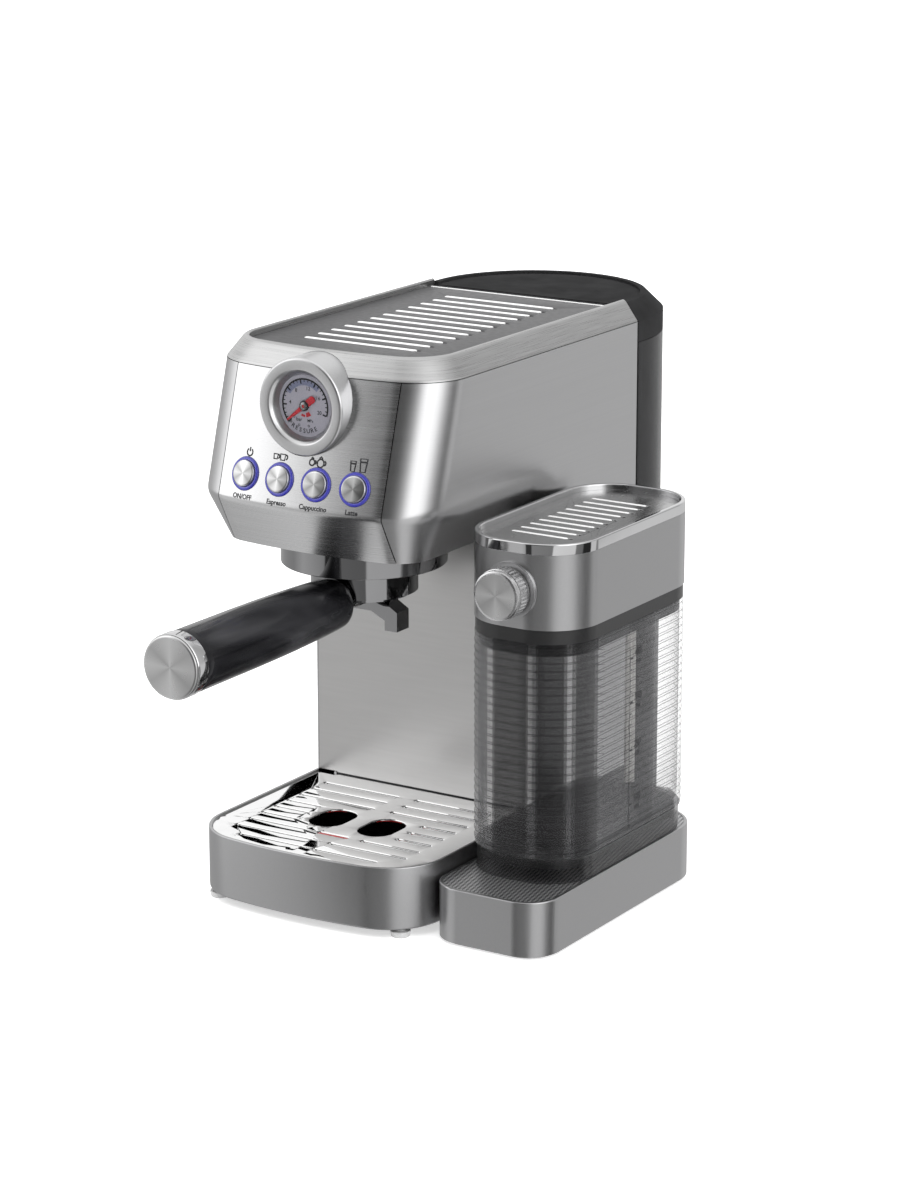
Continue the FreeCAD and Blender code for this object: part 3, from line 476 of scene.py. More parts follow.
def loft(name, loops, caps=(False, False), closed=False):
    """Skin between point loops of equal length."""
    verts = [p for loop in loops for p in loop]
    count = len(loops[0])
    rows = len(loops)
    faces = skin(count, rows, 0, closed)
    if caps[0]:
        faces.append(tuple(range(count)))
    if caps[1]:
        faces.append(tuple(range((rows - 1) * count, rows * count)))
    return link(name, verts, faces)


def arc(cx, cy, r, start, end, steps):
    """Points on an arc, angles in degrees, both ends included."""
    made = []
    for i in range(steps + 1):
        a = radians(start + (end - start) * i / steps)
        made.append((cx + r * cos(a), cy + r * sin(a)))
    return made


def bowed_loop(half, front, back, bow, corner, z):
    """Closed outline: bowed front, round front corners, square back."""
    side_steps = 10
    rear_steps = 12
    bow_y = front + bow
    cx = half - corner
    cy = bow_y - sqrt((bow - corner) ** 2 - cx ** 2)
    lean = degrees(atan2(cy - bow_y, cx))
    fan = 90 + lean
    front_arc = arc(0, bow_y, bow, -90 - fan, -90 + fan, 24)
    right = arc(cx, cy, corner, lean, 0, 14)[1:]
    left = arc(-cx, cy, corner, 180, 180 - lean, 14)[:-1]
    side = [(half, cy + (back - cy) * i / side_steps) for i in range(1, side_steps + 1)]
    other = [(-x, y) for x, y in reversed(side)]
    rear = [(half - 2 * half * i / rear_steps, back) for i in range(1, rear_steps)]
    return [(x, y, z) for x, y in front_arc + right + side + rear + other + left]


def round_loop(x0, x1, y0, y1, front_r, back_r, z, steps=14):
    """Closed rounded rectangle with its own front and back corner radii."""
    points = arc(x0 + front_r, y0 + front_r, front_r, 180, 270, steps)
    points += arc(x1 - front_r, y0 + front_r, front_r, 270, 360, steps)
    points += arc(x1 - back_r, y1 - back_r, back_r, 0, 90, steps)
    points += arc(x0 + back_r, y1 - back_r, back_r, 90, 180, steps)
    return [(x, y, z) for x, y in points]


def milk_loop(inset, z):
    corner = MILK_CORNER - inset
    x0, x1 = MILK_X0 + inset, MILK_X1 - inset
    return round_loop(x0, x1, MILK_Y0 + inset, MILK_Y1 - inset, corner, corner, z, 18)


def edge_profile(low, high, radius_low, radius_high, steps=5):
    """(inset, height) points up a wall whose two edges are rounded."""
    points = []
    for i in range(steps + 1):
        a = pi / 2 * i / steps
        points.append((radius_low * (1 - sin(a)), low + radius_low * (1 - cos(a))))
    for i in range(steps + 1):
        a = pi / 2 * i / steps
        points.append((radius_high * (1 - cos(a)), high - radius_high * (1 - sin(a))))
    return points


# ---- head skin
HEAD_LEVELS = [
    (CHIN_Z, 62.5, -89.5, 20.0),
    (CREASE_Z, BODY_HALF, CREASE_FRONT, HEAD_CORNER),
    (SEAM_Z, BODY_HALF, SEAM_FRONT, HEAD_CORNER),
]


def head_level(z, blend):
    """Half width, front and corner radius at height z, with the crease rounded over +-blend."""
    low, mid, high = HEAD_LEVELS
    made = []
    for k in (1, 2, 3):
        below = (mid[k] - low[k]) / (mid[0] - low[0])
        above = (high[k] - mid[k]) / (high[0] - mid[0])
        start = mid[0] - blend
        s = z - start
        if s <= 0:
            made.append(mid[k] + below * (z - mid[0]))
        elif s >= 2 * blend:
            made.append(mid[k] + above * (z - mid[0]))
        else:
            made.append(mid[k] - below * blend + below * s + (above - below) * s * s / (4 * blend))
    return made


def corner_centre(half, front, corner):
    cx = half - corner
    return cx, front + HEAD_BOW - sqrt((HEAD_BOW - corner) ** 2 - cx ** 2)


def front_y(x, z):
    half, front, corner = head_level(z, CREASE_BLEND)
    cx, cy = corner_centre(half, front, corner)
    if abs(x) <= cx * HEAD_BOW / (HEAD_BOW - corner):
        return front + HEAD_BOW - sqrt(HEAD_BOW ** 2 - x ** 2)
    return cy - sqrt(corner ** 2 - (abs(x) - cx) ** 2)


SKIN_ROWS = [205.0, 205.5, 207, 209.5, 212, 214.5, 217, 219.5, 222, 224, 226, 227.5, 228.8, 229.8, 230.6,
             231.2, 231.8, 232.4, 233.2, 234.2, 235.5, 237, 239, 242, 246]
SKIN_ROWS += [246 + (SEAM_Z - 0.2 - 246) * i / 10 for i in range(1, 11)]


def grid_faces(first, columns, rows, flip):
    made = []
    for r in range(rows - 1):
        for c in range(columns - 1):
            a = first + r * columns + c
            quad = (a, a + 1, a + columns + 1, a + columns)
            made.append(tuple(reversed(quad)) if flip else quad)
    return made


def rod_cutter(x, y, z, direction, radius, length, steps=96):
    profile = [(0, 0), (radius, 0), (radius, length), (0, length)]
    return lathe("cutter", profile, axis_place(x, y, z, direction), steps)


def gauge_cutter():
    return rod_cutter(0, -118, GAUGE_Z, BACKWARD, GAUGE_HOLE, 60)


def panel_point(x, z):
    """Point on the front panel and its outward normal."""
    fan = asin(x / HEAD_BOW)
    y = CREASE_FRONT + (z - CREASE_Z) * PANEL_SLOPE + HEAD_BOW * (1 - cos(fan))
    normal = Vector((sin(fan), -cos(fan), PANEL_SLOPE * cos(fan))).normalized()
    return Vector((x, y, z)), normal


BUTTONS = [panel_point(x, BUTTON_Z) for x in BUTTON_XS]


def make_fascia():
    columns = 61
    verts = []
    for z in SKIN_ROWS:
        for i in range(columns):
            x = -FASCIA_EDGE + 2 * FASCIA_EDGE * i / (columns - 1)
            verts.append((x, front_y(x, z), z))
    panel = link("fascia_panel", verts, grid_faces(0, columns, len(SKIN_ROWS), False), outward=False)
    thicken(panel, 1.4)
    cutters = [gauge_cutter()]
    for point, normal in BUTTONS:
        spot = point + normal * 6
        cutters.append(rod_cutter(*spot, -normal, 9.38, 14, 64))
    cut(panel, cutters)
    dress(panel, "steel_front", "machine", ["front_fascia"], 30)


FLANK_BLEND = 6.5            # extra rounding of the crease by the time it reaches the flank


def make_side(side):
    """Side sheet: head corner, flank and column side, with the crease dying out behind the column's front."""
    verts = []
    faces = []
    flip = side < 0
    corner_steps = 22
    flank_steps = 10
    columns = corner_steps + flank_steps + 1
    for z in SKIN_ROWS:
        for i in range(columns):
            share = min(1.0, max(0.0, (i - 6) / (columns - 7)))
            half, front, corner = head_level(z, CREASE_BLEND + FLANK_BLEND * share)
            cx, cy = corner_centre(half, front, corner)
            start = -acos((FASCIA_EDGE + 0.5 - cx) / corner)
            if i <= corner_steps:
                a = start * (1 - i / corner_steps)
                verts.append((side * (cx + corner * cos(a)), cy + corner * sin(a), z))
            else:
                t = (i - corner_steps) / flank_steps
                verts.append((side * half, cy + (COLUMN_FRONT - cy) * t, z))
    faces += grid_faces(0, columns, len(SKIN_ROWS), flip)

    flank = [0, 3, 6, 9, 12, 16, 20, 24, 28, 32, 36, 50, 75, 111.7]
    base = len(verts)
    for z in SKIN_ROWS:
        half = head_level(z, CREASE_BLEND + FLANK_BLEND)[0]
        depth = (BODY_HALF - half) * min(1.0, (z - CHIN_Z) / 9.0)
        for step in flank:
            fade = max(0.0, 1 - step / 36.0) ** 1.6
            verts.append((side * (BODY_HALF - depth * fade), COLUMN_FRONT + step, z))
    faces += grid_faces(base, len(flank), len(SKIN_ROWS), flip)
    for r in range(len(SKIN_ROWS) - 1):
        a = r * columns + columns - 1
        b = base + r * len(flank)
        quad = (a, b, b + len(flank), a + columns)
        faces.append(tuple(reversed(quad)) if flip else quad)

    lower = [COLUMN_FOOT + (CHIN_Z - COLUMN_FOOT) * i / 11 for i in range(12)]
    turn = [(72.45, 0.0), (73.1, 0.12), (73.6, 0.45), (73.9, 0.95), (74.0, 1.6)]
    base = len(verts)
    for z in lower:
        for x, step in turn:
            verts.append((side * x, COLUMN_FRONT + step, z))
        for step in flank[1:]:
            verts.append((side * BODY_HALF, COLUMN_FRONT + step, z))
    faces += grid_faces(base, len(turn) + len(flank) - 1, len(lower), flip)
    hand = "right" if side > 0 else "left"
    panel = link("side_panel_" + hand, verts, faces, outward=False)
    thicken(panel, 1.3)
    dress(panel, "steel_panel", "machine", ["side_shell_" + hand], 40)


def make_bezel():
    """Top cover: bevel up from the seam, a rounded rim and the recess for the plate, open at the back."""
    steps = [(302.2, BODY_HALF, SEAM_FRONT, HEAD_CORNER), (302.45, 73.95, -82.7, 31.0),
             (303.5, 73.2, -81.9, 30.6), (308.0, 69.9, -78.5, 28.6), (312.2, 66.85, -75.4, 26.8),
             (313.2, 66.0, -74.5, 26.2), (313.8, 65.2, -73.6, 25.6), (314.0, 64.5, -72.9, 25.1)]
    loops = [bowed_loop(half, front, BODY_BACK, HEAD_BOW, corner, z) for z, half, front, corner in steps]
    cover = loft("top_bezel", loops, caps=(True, True))
    inner = [(308.72, 63.0, -71.4, 24.0), (313.2, 63.2, -71.6, 24.2), (313.8, 63.7, -72.1, 24.6),
             (314.05, 64.4, -72.8, 25.0), (318.0, 64.4, -72.8, 25.0)]
    hollow = [bowed_loop(half, front, BODY_BACK + 9, HEAD_BOW, corner, z) for z, half, front, corner in inner]
    recess = loft("recess", hollow, caps=(True, True))
    cut(cover, [recess, gauge_cutter()])
    dress(cover, "steel_bevel", "machine", ["top_cover"], 30)


# ---- rounded bars in slots
def bar(x0, x1, y, width, top, drop=1.2):
    """Outline loops of a crowned bar with round ends, lying along X."""
    r = width / 2
    loops = []
    for inset, z in ((0.0, top - drop), (0.0, top - 0.35), (0.12 * width, top - 0.1), (0.3 * width, top)):
        q = r - inset
        points = arc(x1 - r, y, q, -90, 90, 8) + arc(x0 + r, y, q, 90, 270, 8)
        loops.append([(x, py, z) for x, py in points])
    return loops


def bars(name, places, material, body):
    """Many crowned bars as one piece. places are (x0, x1, y, width, top)."""
    verts = []
    faces = []
    for place in places:
        loops = bar(*place)
        count = len(loops[0])
        base = len(verts)
        verts += [p for loop in loops for p in loop]
        faces += skin(count, len(loops), base)
        last = base + (len(loops) - 1) * count
        faces.append(tuple(range(last, last + count)))
        faces.append(tuple(range(base + count - 1, base - 1, -1)))
    dress(link(name, verts, faces), material, body, (), 40)


def grid_slots():
    """The drip grid's slots as (x0, x1, y, width)."""
    made = []
    for row in range(9):
        y = -94.0 + 12.5 * row
        start, end = 5.0, 57.0
        if row == 0:
            start, end = 3.0, 46.0
        if row == 2:
            start = 18.0
        if row in (3, 4, 5):
            start = 33.0
        made.append((start, end, y, 3.4))
        made.append((-end, -start, y, 3.4))
    return made


def make_bars():
    warm_rows = [-36.3 + 13.0 * i for i in range(12)]
    warm = [(-37.3, 35.2, y, 3.5, 310.75) for y in warm_rows]
    bars("shelf_strips", warm, "slot_bars_painted_reflection", "machine")
    # Black spots at the right end of each strip: painted shadow in the end of each slot.
    shadow_dots = [(36.0, 38.4, y, 2.4, 310.4) for y in warm_rows]
    bars("shelf_painted_shadow_dots", shadow_dots, "rubber_black", "machine")
    # Thin pale strip along the plate's back edge: painted highlight.
    bars("shelf_rear_painted_highlight", [(-61.5, 61.5, 129.5, 1.3, 310.7)], "slot_bars_painted_reflection", "machine")
    milk_rows = [-31.7 + 9.45 * i for i in range(10)]
    # Near-white strips on the milk head's top plate: painted reflection on its embossed bars.
    milk = [(MILK_MID - 18.8, MILK_MID + 15.6, y, 2.9, 218.15) for y in milk_rows]
    bars("milk_lid_strips", milk, "slot_bars_painted_reflection", "milk_head")
    # Black spots at the right end of each strip: painted shadow in the end of each slot.
    shadow_dots = [(MILK_MID + 16.7, MILK_MID + 18.9, y, 2.2, 217.75) for y in milk_rows]
    bars("milk_lid_painted_shadow_dots", shadow_dots, "rubber_black", "milk_head")
    # Bars and studs in the grid's slots carry painted reflection.
    strips = [(x0 + 3.3, x1 - 0.35, y - 0.55, w - 1.9, 39.4) for x0, x1, y, w in grid_slots()]
    bars("grid_strips", strips, "grid_bars_painted_reflection", "drip_grid")
    studs = [(x0 + 1.1, x0 + 2.3, y, 1.2, 39.4) for x0, x1, y, w in grid_slots()]
    bars("grid_studs", studs, "grid_bars_painted_reflection", "drip_grid")
    bars("float_flag", [(-10.1, 10.1, -69.0, 3.2, 39.2)], "red_plastic", "tray_float")


# ---- tray
def make_tray():
    """Band round the tray's front and sides, open across the back."""
    profile = edge_profile(TRAY_BOTTOM, TRAY_TOP, 1.6, 0.7)
    profile += [(1.3, TRAY_TOP), (1.85, 40.3), (2.0, 39.8), (2.0, 6.0)]
    loops = [bowed_loop(BODY_HALF - inset, TRAY_FRONT + inset, TRAY_BACK, TRAY_BOW, TRAY_CORNER - inset, z)
             for inset, z in profile]
    band = loft("tray_skirt", loops, closed=True)
    work = bmesh.new()
    work.from_mesh(band.data)
    rear = at(0, TRAY_BACK - 0.2, 0).y
    left = at(-71.9, 0, 0).x
    right = at(71.9, 0, 0).x
    middle = [f for f in work.faces if all(v.co.y > rear and left < v.co.x < right for v in f.verts)]
    bmesh.ops.delete(work, geom=middle, context="FACES")
    work.to_mesh(band.data)
    work.free()
    dress(band, "satin_grey", "drip_tray", ["tray_band"], 40)


def make_feet():
    """Four round rubber feet and the flat ring under the milk base."""
    outline = [(0, 0), (4.9, 0.0), (5.2, 0.25), (5.7, 3.1), (5.5, 3.4), (3.0, 3.4), (3.0, 5.0), (0, 5.0)]
    feet = [("front_left", -60, -93), ("front_right", 60, -93)]
    feet += [("rear_left", -48, 178), ("rear_right", 48, 178)]
    for name, x, y in feet:
        foot = lathe("foot_" + name, outline, axis_place(x, y, 0, (0, 0, 1)), 40)
        replaced = ["rubber_feet"] if name == "front_left" else ()
        dress(foot, "foot_rubber", "machine", replaced, 40)
    outer = [round_loop(78.6, 144.6, MILK_BASE_FRONT + 3, MILK_BASE_BACK - 3, 16, 27, z) for z in (0.0, 1.5)]
    inner = [round_loop(84.6, 138.6, MILK_BASE_FRONT + 9, MILK_BASE_BACK - 9, 10, 21, z) for z in (1.5, 0.0)]
    pad = loft("milk_base_pad", outer + inner, closed=True)
    dress(pad, "foot_rubber", "machine", (), 40)


# ---- handle
def make_handle():
    place = axis_place(0, 0, HANDLE_Z)
    outline = [(0, -66.4), (12.2, -66.4), (13.1, -66.7), (13.9, -67.4), (14.4, -68.6), (14.7, -72),
               (15.4, -84), (15.95, -98), (16.5, -115), (16.8, -132), (17.0, -150), (17.1, -175),
               (17.2, -200), (17.2, -204.9),
               (17.0, -205.25), (0, -205.25)]
    grip = lathe("handle_sleeve", outline, place, 128)
    dress(grip, "grip_plastic", "portafilter", ["handle_grip"], 50)
    ring = [(16.0, -205.5), (17.2, -205.5), (17.55, -205.8), (17.6, -206.4), (17.6, -212.9), (17.5, -213.5),
            (17.2, -213.9), (16.0, -213.9)]
    collar = lathe("handle_ring", ring, place, 128)
    dress(collar, "polished_steel", "portafilter", ["handle_end_ring"], 40)
    face = axis_place(0, -215.5, HANDLE_Z)
    cap = [(0, 0.0), (15.6, 0.0), (16.3, 0.06), (16.75, 0.3), (16.95, 0.7), (17.0, 1.3), (15.9, 1.35),
           (15.9, 9.9), (0, 9.9)]
    end = lathe("handle_cap", cap, face, 128)
    dress(end, "spun_aluminium_painted_fans", "portafilter", ["handle_end_cap"], 40)


# ---- gauge and buttons
def make_gauge():
    place = axis_place(0, GAUGE_FRONT, GAUGE_Z)
    outline = [(17.0, 10.05), (17.0, 17.9), (3.0, 17.9), (3.0, 23.8), (26.6, 23.8), (26.6, 1.5), (26.45, 0.85),
               (26.1, 0.38), (25.6, 0.08), (25.1, 0.0), (20.9, 0.0), (20.4, 0.1), (20.0, 0.4), (16.9, 4.6),
               (16.7, 5.15), (18.6, 5.2), (18.6, 10.05)]
    shell = lathe("gauge_case", outline, place, 128)
    dress(shell, "gauge_metal", "machine", ["gauge_housing"], 35)
    dial = lathe("gauge_card", [(0.86, 0.0), (18.5, 0.0), (18.5, 1.1), (0.86, 1.1)],
                 axis_place(0, GAUGE_FRONT + DIAL_DEPTH, GAUGE_Z), 96)
    dress(dial, "dial_face", "machine", ["gauge_dial"], 35)
    glass = lathe("gauge_glass", [(0, 0.0), (18.4, 0.15), (19.0, 0.4), (18.6, 0.9), (0, 0.8)],
                  axis_place(0, GAUGE_FRONT + 1.5, GAUGE_Z), 96)
    dress(glass, "lens_clear", "machine", ["gauge_lens"], 35)


def dial_point(radius, bearing, lift=0.0):
    a = radians(bearing)
    return (radius * cos(a), GAUGE_FRONT + DIAL_DEPTH - 0.05 - lift, GAUGE_Z + radius * sin(a))


def dial_band(inner, outer, start, end, steps, lift=0.0):
    """Verts and faces of a flat ring sector on the dial."""
    verts = []
    for i in range(steps + 1):
        a = start + (end - start) * i / steps
        verts.append(dial_point(inner, a, lift))
        verts.append(dial_point(outer, a, lift))
    return verts, [(2 * i, 2 * i + 1, 2 * i + 3, 2 * i + 2) for i in range(steps)]


def flat_print(name, parts, material, body="machine"):
    """Several (verts, faces) groups as one printed piece."""
    verts = []
    faces = []
    for group, quads in parts:
        base = len(verts)
        verts += group
        faces += [tuple(base + k for k in quad) for quad in quads]
    dress(link(name, verts, faces, weld=False), material, body)


def letters(text, size, weight=0.015):
    """Flat triangles of a text, centred, as (x, y) points and faces."""
    curve = bpy.data.curves.new("letters", "FONT")
    curve.body = text
    curve.size = size
    curve.align_x = "CENTER"
    curve.align_y = "CENTER"
    curve.resolution_u = 3
    curve.offset = weight * size
    obj = add("letters", curve)
    view = bpy.context.evaluated_depsgraph_get()
    mesh = bpy.data.meshes.new_from_object(obj.evaluated_get(view))
    points = [(v.co.x, v.co.y) for v in mesh.vertices]
    faces = [tuple(p.vertices) for p in mesh.polygons]
    bpy.data.objects.remove(obj)
    bpy.data.meshes.remove(mesh)
    return points, faces


def dial_text(text, size, x, z, turn=0.0):
    points, faces = letters(text, size)
    turned = [(px * cos(turn) - py * sin(turn), px * sin(turn) + py * cos(turn))
              for px, py in points]
    return [(x + px, GAUGE_FRONT + DIAL_DEPTH - 0.1, GAUGE_Z + z + py) for px, py in turned], faces


def make_dial_print():
    black = [dial_band(13.9, 14.9, DIAL_START, DIAL_START - DIAL_SWEEP, 90)]
    for i in range(25):
        a = DIAL_START - DIAL_SWEEP / 24 * i
        long = i % 4 == 0
        width = 2.0 if long else 1.1
        black.append(dial_band(11.8 if long else 12.9, 14.0, a - width, a + width, 2, 0.01))
    for i, text in enumerate(("0", "4", "8", "12", "16", "20")):
        a = radians(DIAL_START - DIAL_SWEEP / 5 * i)
        black.append(dial_text(text, 2.9, 9.6 * cos(a), 9.6 * sin(a)))
    black.append(dial_text("bar", 2.9, -4.0, -7.8))
    black.append(dial_text("MPa", 2.2, 3.2, -8.0))
    for x in (-4.0, 2.2):
        black.append(dial_text("o", 2.8, x, -10.6))
    for i, text in enumerate("PRESSURE"):
        a = radians(262 + 10.5 * (i - 3.5))
        black.append(dial_text(text, 3.4, 13.8 * cos(a), 13.8 * sin(a), a - 1.5 * pi))
    flat_print("dial_scale", black, "print_black")
    flat_print("dial_zone_band", [dial_band(11.0, 13.8, 150, 48, 30, -0.02)], "dial_zone")
    flat_print("dial_mark", [dial_band(3.8, 6.2, -84, -52, 4, 0.02), dial_band(4.9, 6.2, -116, -90, 4, 0.02)],
               "print_red")


def make_needle():
    rest = radians(DIAL_START - 4)
    tip = (cos(rest), sin(rest))
    side = (-sin(rest), cos(rest))
    outline = [(14.2, 0.4), (2.0, 1.25), (0.0, 1.5), (-3.0, 1.9), (-6.8, 1.9), (-7.7, 1.2), (-8.0, 0.0)]
    outline += [(u, -v) for u, v in reversed(outline[:-1])]
    loops = []
    for inset, y in ((0.0, 4.5), (0.0, 3.95), (0.25, 3.8)):
        loop = []
        for u, v in outline:
            w = v * (1 - inset * 0.5)
            loop.append((tip[0] * u + side[0] * w, GAUGE_FRONT + y, GAUGE_Z + tip[1] * u + side[1] * w))
        loops.append(loop)
    needle = loft("needle_blade", loops, caps=(True, True))
    dress(needle, "needle_red", "needle", ["gauge_needle"], 30)
    place = axis_place(0, GAUGE_FRONT + 2.9, GAUGE_Z)
    hub = lathe("needle_hub", [(0, 0), (1.5, 0.0), (2.1, 0.25), (2.2, 0.7), (2.2, 2.1), (0, 2.1)], place, 48)
    dress(hub, "satin_aluminium", "needle", (), 40)
    rim = lathe("needle_hub_ring", [(2.25, 0.5), (2.8, 0.6), (2.8, 1.5), (2.25, 1.5)], place, 48)
    dress(rim, "print_black", "needle", (), 40)
    pin = lathe("needle_pin", [(0, -0.15), (0.7, -0.15), (0.9, 0.0), (0.9, 0.2), (0, 0.2)], place, 32)
    dress(pin, "red_plastic", "needle", (), 40)


def make_buttons():
    cap = [(0, 0.0), (6.3, 0.0), (6.8, 0.1), (7.1, 0.4), (7.2, 0.9), (7.2, 8.6), (0, 8.6)]
    ring = [(7.42, 0.35), (7.6, 0.12), (8.2, 0.0), (8.7, 0.08), (9.1, 0.35), (9.28, 0.75), (9.28, 6.0),
            (7.42, 6.0)]
    for name, (point, normal) in zip(BUTTON_NAMES, BUTTONS):
        place = axis_place(*(point + normal * 2.4), -normal)
        button = lathe(name + "_cap", cap, place, 72)
        dress(button, "spun_button_painted_fans", name, [name], 40)
        seat = axis_place(*(point + normal * 0.9), -normal)
        halo = lathe(name + "_ring", ring, seat, 72)
        dress(halo, "blue_ring", "machine", ["button_rings"] if name == "button_power" else (), 40)


def on_panel(u, v):
    """Point just proud of the front panel at x = u, z = v."""
    point, normal = panel_point(u, v)
    spot = point + normal * 0.06
    return (spot.x, spot.y, spot.z)


def ribbon(points, width, closed=False):
    """Flat line of a given width through 2-D points, laid on the front panel."""
    count = len(points)
    verts = []
    for i, (u, v) in enumerate(points):
        before = points[i - 1] if (i or closed) else points[i]
        after = points[(i + 1) % count] if (i < count - 1 or closed) else points[i]
        dx, dy = after[0] - before[0], after[1] - before[1]
        length = hypot(dx, dy) or 1.0
        nx, ny = -dy / length * width / 2, dx / length * width / 2
        verts.append(on_panel(u + nx, v + ny))
        verts.append(on_panel(u - nx, v - ny))
    pairs = count if closed else count - 1
    faces = []
    for i in range(pairs):
        j = (i + 1) % count
        faces.append((2 * i, 2 * i + 1, 2 * j + 1, 2 * j))
    return verts, faces


def panel_text(text, size, x, z):
    points, faces = letters(text, size, 0.03)
    return [on_panel(x + px, z + py) for px, py in points], faces


def make_icons():
    """Printed signs over the buttons and the words under them."""
    top = 257.5
    line = 0.85
    marks = []
    xs = BUTTON_XS
    marks.append(ribbon(arc(xs[0] + 1.0, top, 1.9, 125, 415, 20), line))
    marks.append(ribbon([(xs[0] + 1.0, top + 0.4), (xs[0] + 1.0, top + 2.6)], line))
    for offset, size in ((-4.6, 1.4), (0.1, 1.7)):
        u = xs[1] + offset
        cup = [(u - size, top + size), (u + size, top + size), (u + 0.75 * size, top - 0.8 * size),
               (u - 0.75 * size, top - 0.8 * size)]
        marks.append(ribbon(cup, line, True))
        marks.append(ribbon(arc(u + 1.1 * size, top + 0.2 * size, 0.7 * size, -80, 80, 8), line))
    for offset, size in ((-4.4, 1.6), (0.9, 2.1)):
        u = xs[2] + offset
        marks.append(ribbon(arc(u, top - 0.2, size, 200, 520, 20), line, True))
        marks.append(ribbon(arc(u + size, top, 0.55 * size, -80, 80, 8), line))
        steam = [(u - 0.5 * size, top + size), (u, top + 1.5 * size), (u + 0.5 * size, top + size)]
        marks.append(ribbon(steam, line))
    for offset, size in ((-3.0, 2.6), (3.0, 3.4)):
        u = xs[3] + offset
        low = top - 2.2
        glass = [(u - 0.62 * size, low + 2 * size), (u + 0.62 * size, low + 2 * size)]
        glass += [(u + 0.42 * size, low), (u - 0.42 * size, low)]
        marks.append(ribbon(glass, line, True))
        marks.append(ribbon([(u - 0.58 * size, low + 1.5 * size), (u + 0.58 * size, low + 1.5 * size)], line))
    for x, word in zip(xs, ("ON/OFF", "Espresso", "Cappuccino", "Latte")):
        marks.append(panel_text(word, 3.6, x, 234.1))
    flat_print("panel_signs", marks, "print_black")


# ---- milk unit
def make_jar():
    """Clear jar: thin ribs round the wall, a plain inner skin and a floor."""
    low, high = JAR_LOW, JAR_HIGH
    rows = [(low, 0.9), (low + 0.3, 0.45), (low + 1.2, 0.3)]
    z = RIB_START
    while z + 1.2 < high - 1.0:
        rows += [(z - 0.55, 0.34), (z - 0.2, 0.04), (z + 0.2, 0.04), (z + 0.55, 0.34)]
        rows.append((z + RIB_PITCH / 2, 0.34))
        z += RIB_PITCH
    rows += [(high - 0.9, 0.3), (high - 0.2, 0.4), (high, 0.9)]
    outer = [milk_loop(inset, height) for height, inset in rows]
    inner = [milk_loop(2.0, high), milk_loop(2.4, high - 0.5)]
    inner += [milk_loop(2.4, high - 8 - 9.0 * i) for i in range(12)]
    inner += [milk_loop(2.6, low + 4.4), milk_loop(3.4, low + 3.2), milk_loop(5.0, low + 2.9)]
    jar = loft("jar_wall", outer + inner, caps=(True, True))
    dress(jar, "clear_plastic", "milk_jar", ["milk_jar"], 25)
    jar.visible_shadow = False
    steps = [(4.2, 39.6), (3.9, 40.0), (3.8, 45.0), (4.3, 46.3)]
    plinth = loft("jar_plinth", [milk_loop(*step) for step in steps], caps=(True, True))
    dress(plinth, "gasket", "milk_jar", ["milk_jar_foot"], 40)
    edge = [(1.6, 32.4), (1.5, 33.0), (1.5, 44.6), (1.2, 45.6), (0.6, 46.3), (3.4, 46.3), (3.5, 32.4)]
    rim = loft("jar_skirt", [milk_loop(*step) for step in edge], closed=True)
    dress(rim, "skirt_clear", "milk_jar", (), 40)
    rim.visible_shadow = False


SCALE_X = MILK_X1 - 0.02     # the print lies a hair inside the ribs' crests


def side_text(text, size, y, z):
    points, faces = letters(text, size)
    return [(SCALE_X, y + px, z + py) for px, py in points], faces


def side_mark(y0, y1, z, half):
    """Upright printed rectangle on the jar's outer side."""
    corners = ((y0, z - half), (y1, z - half), (y1, z + half), (y0, z + half))
    return [(SCALE_X, y, height) for y, height in corners], [(0, 1, 2, 3)]


def make_jar_scale():
    """Filling marks on the jar's outer side."""
    marks = []
    for text, z in (("100", 63.0), ("200", 94.0), ("300", 121.0), ("400", 146.0)):
        marks.append(side_text(text, 5.6, 10.6, z + 2.4))
        marks.append(side_text("ml", 5.0, 10.6, z - 2.8))
        marks.append(side_mark(2.0, 5.0, z, 0.45))
        marks += [side_mark(2.0, 3.8, z - 6.2 * k, 0.3) for k in (1, 2, 3)]
    marks.append(side_mark(1.5, 2.0, 100.0, 52.0))
    flat_print("jar_scale", marks, "print_black", "milk_jar")


def make_knob():
    place = axis_place(MILK_MID, -79.6, KNOB_Z)
    outline = [(0, 0.0), (12.2, 0.0), (12.9, 0.12), (13.35, 0.45), (13.5, 1.0), (13.5, 3.4)]
    outline += [(13.9, 3.6), (13.9, 3.9)]
    outline += [(13.95, 4.2 + 0.7 * i) for i in range(10)]
    outline += [(13.6, 11.2), (13.3, 11.6), (13.3, 13.0), (13.0, 13.3), (0, 13.3)]

    def ripple(angle, r, h):
        if 4.1 < h < 10.7:
            return r - 0.55 * max(0.0, cos(angle * 40)) ** 2
        return r

    knob = lathe("knob_body", outline, place, 320, ripple=ripple)
    dress(knob, "satin_aluminium", "froth_knob", ["froth_knob"], 28)
    face = [(0, -0.02), (12.0, -0.02), (12.1, 0.05), (0, 0.05)]
    disc = lathe("knob_face", face, place, 96)
    dress(disc, "spun_aluminium_painted_fans", "froth_knob", (), 30)
    collar = [(12.0, 13.9), (14.9, 13.8), (15.4, 14.0), (15.62, 14.5), (15.62, 16.0), (12.0, 16.0)]
    ring = lathe("knob_collar", collar, place, 96)
    dress(ring, "polished_steel", "milk_head", (), 35)


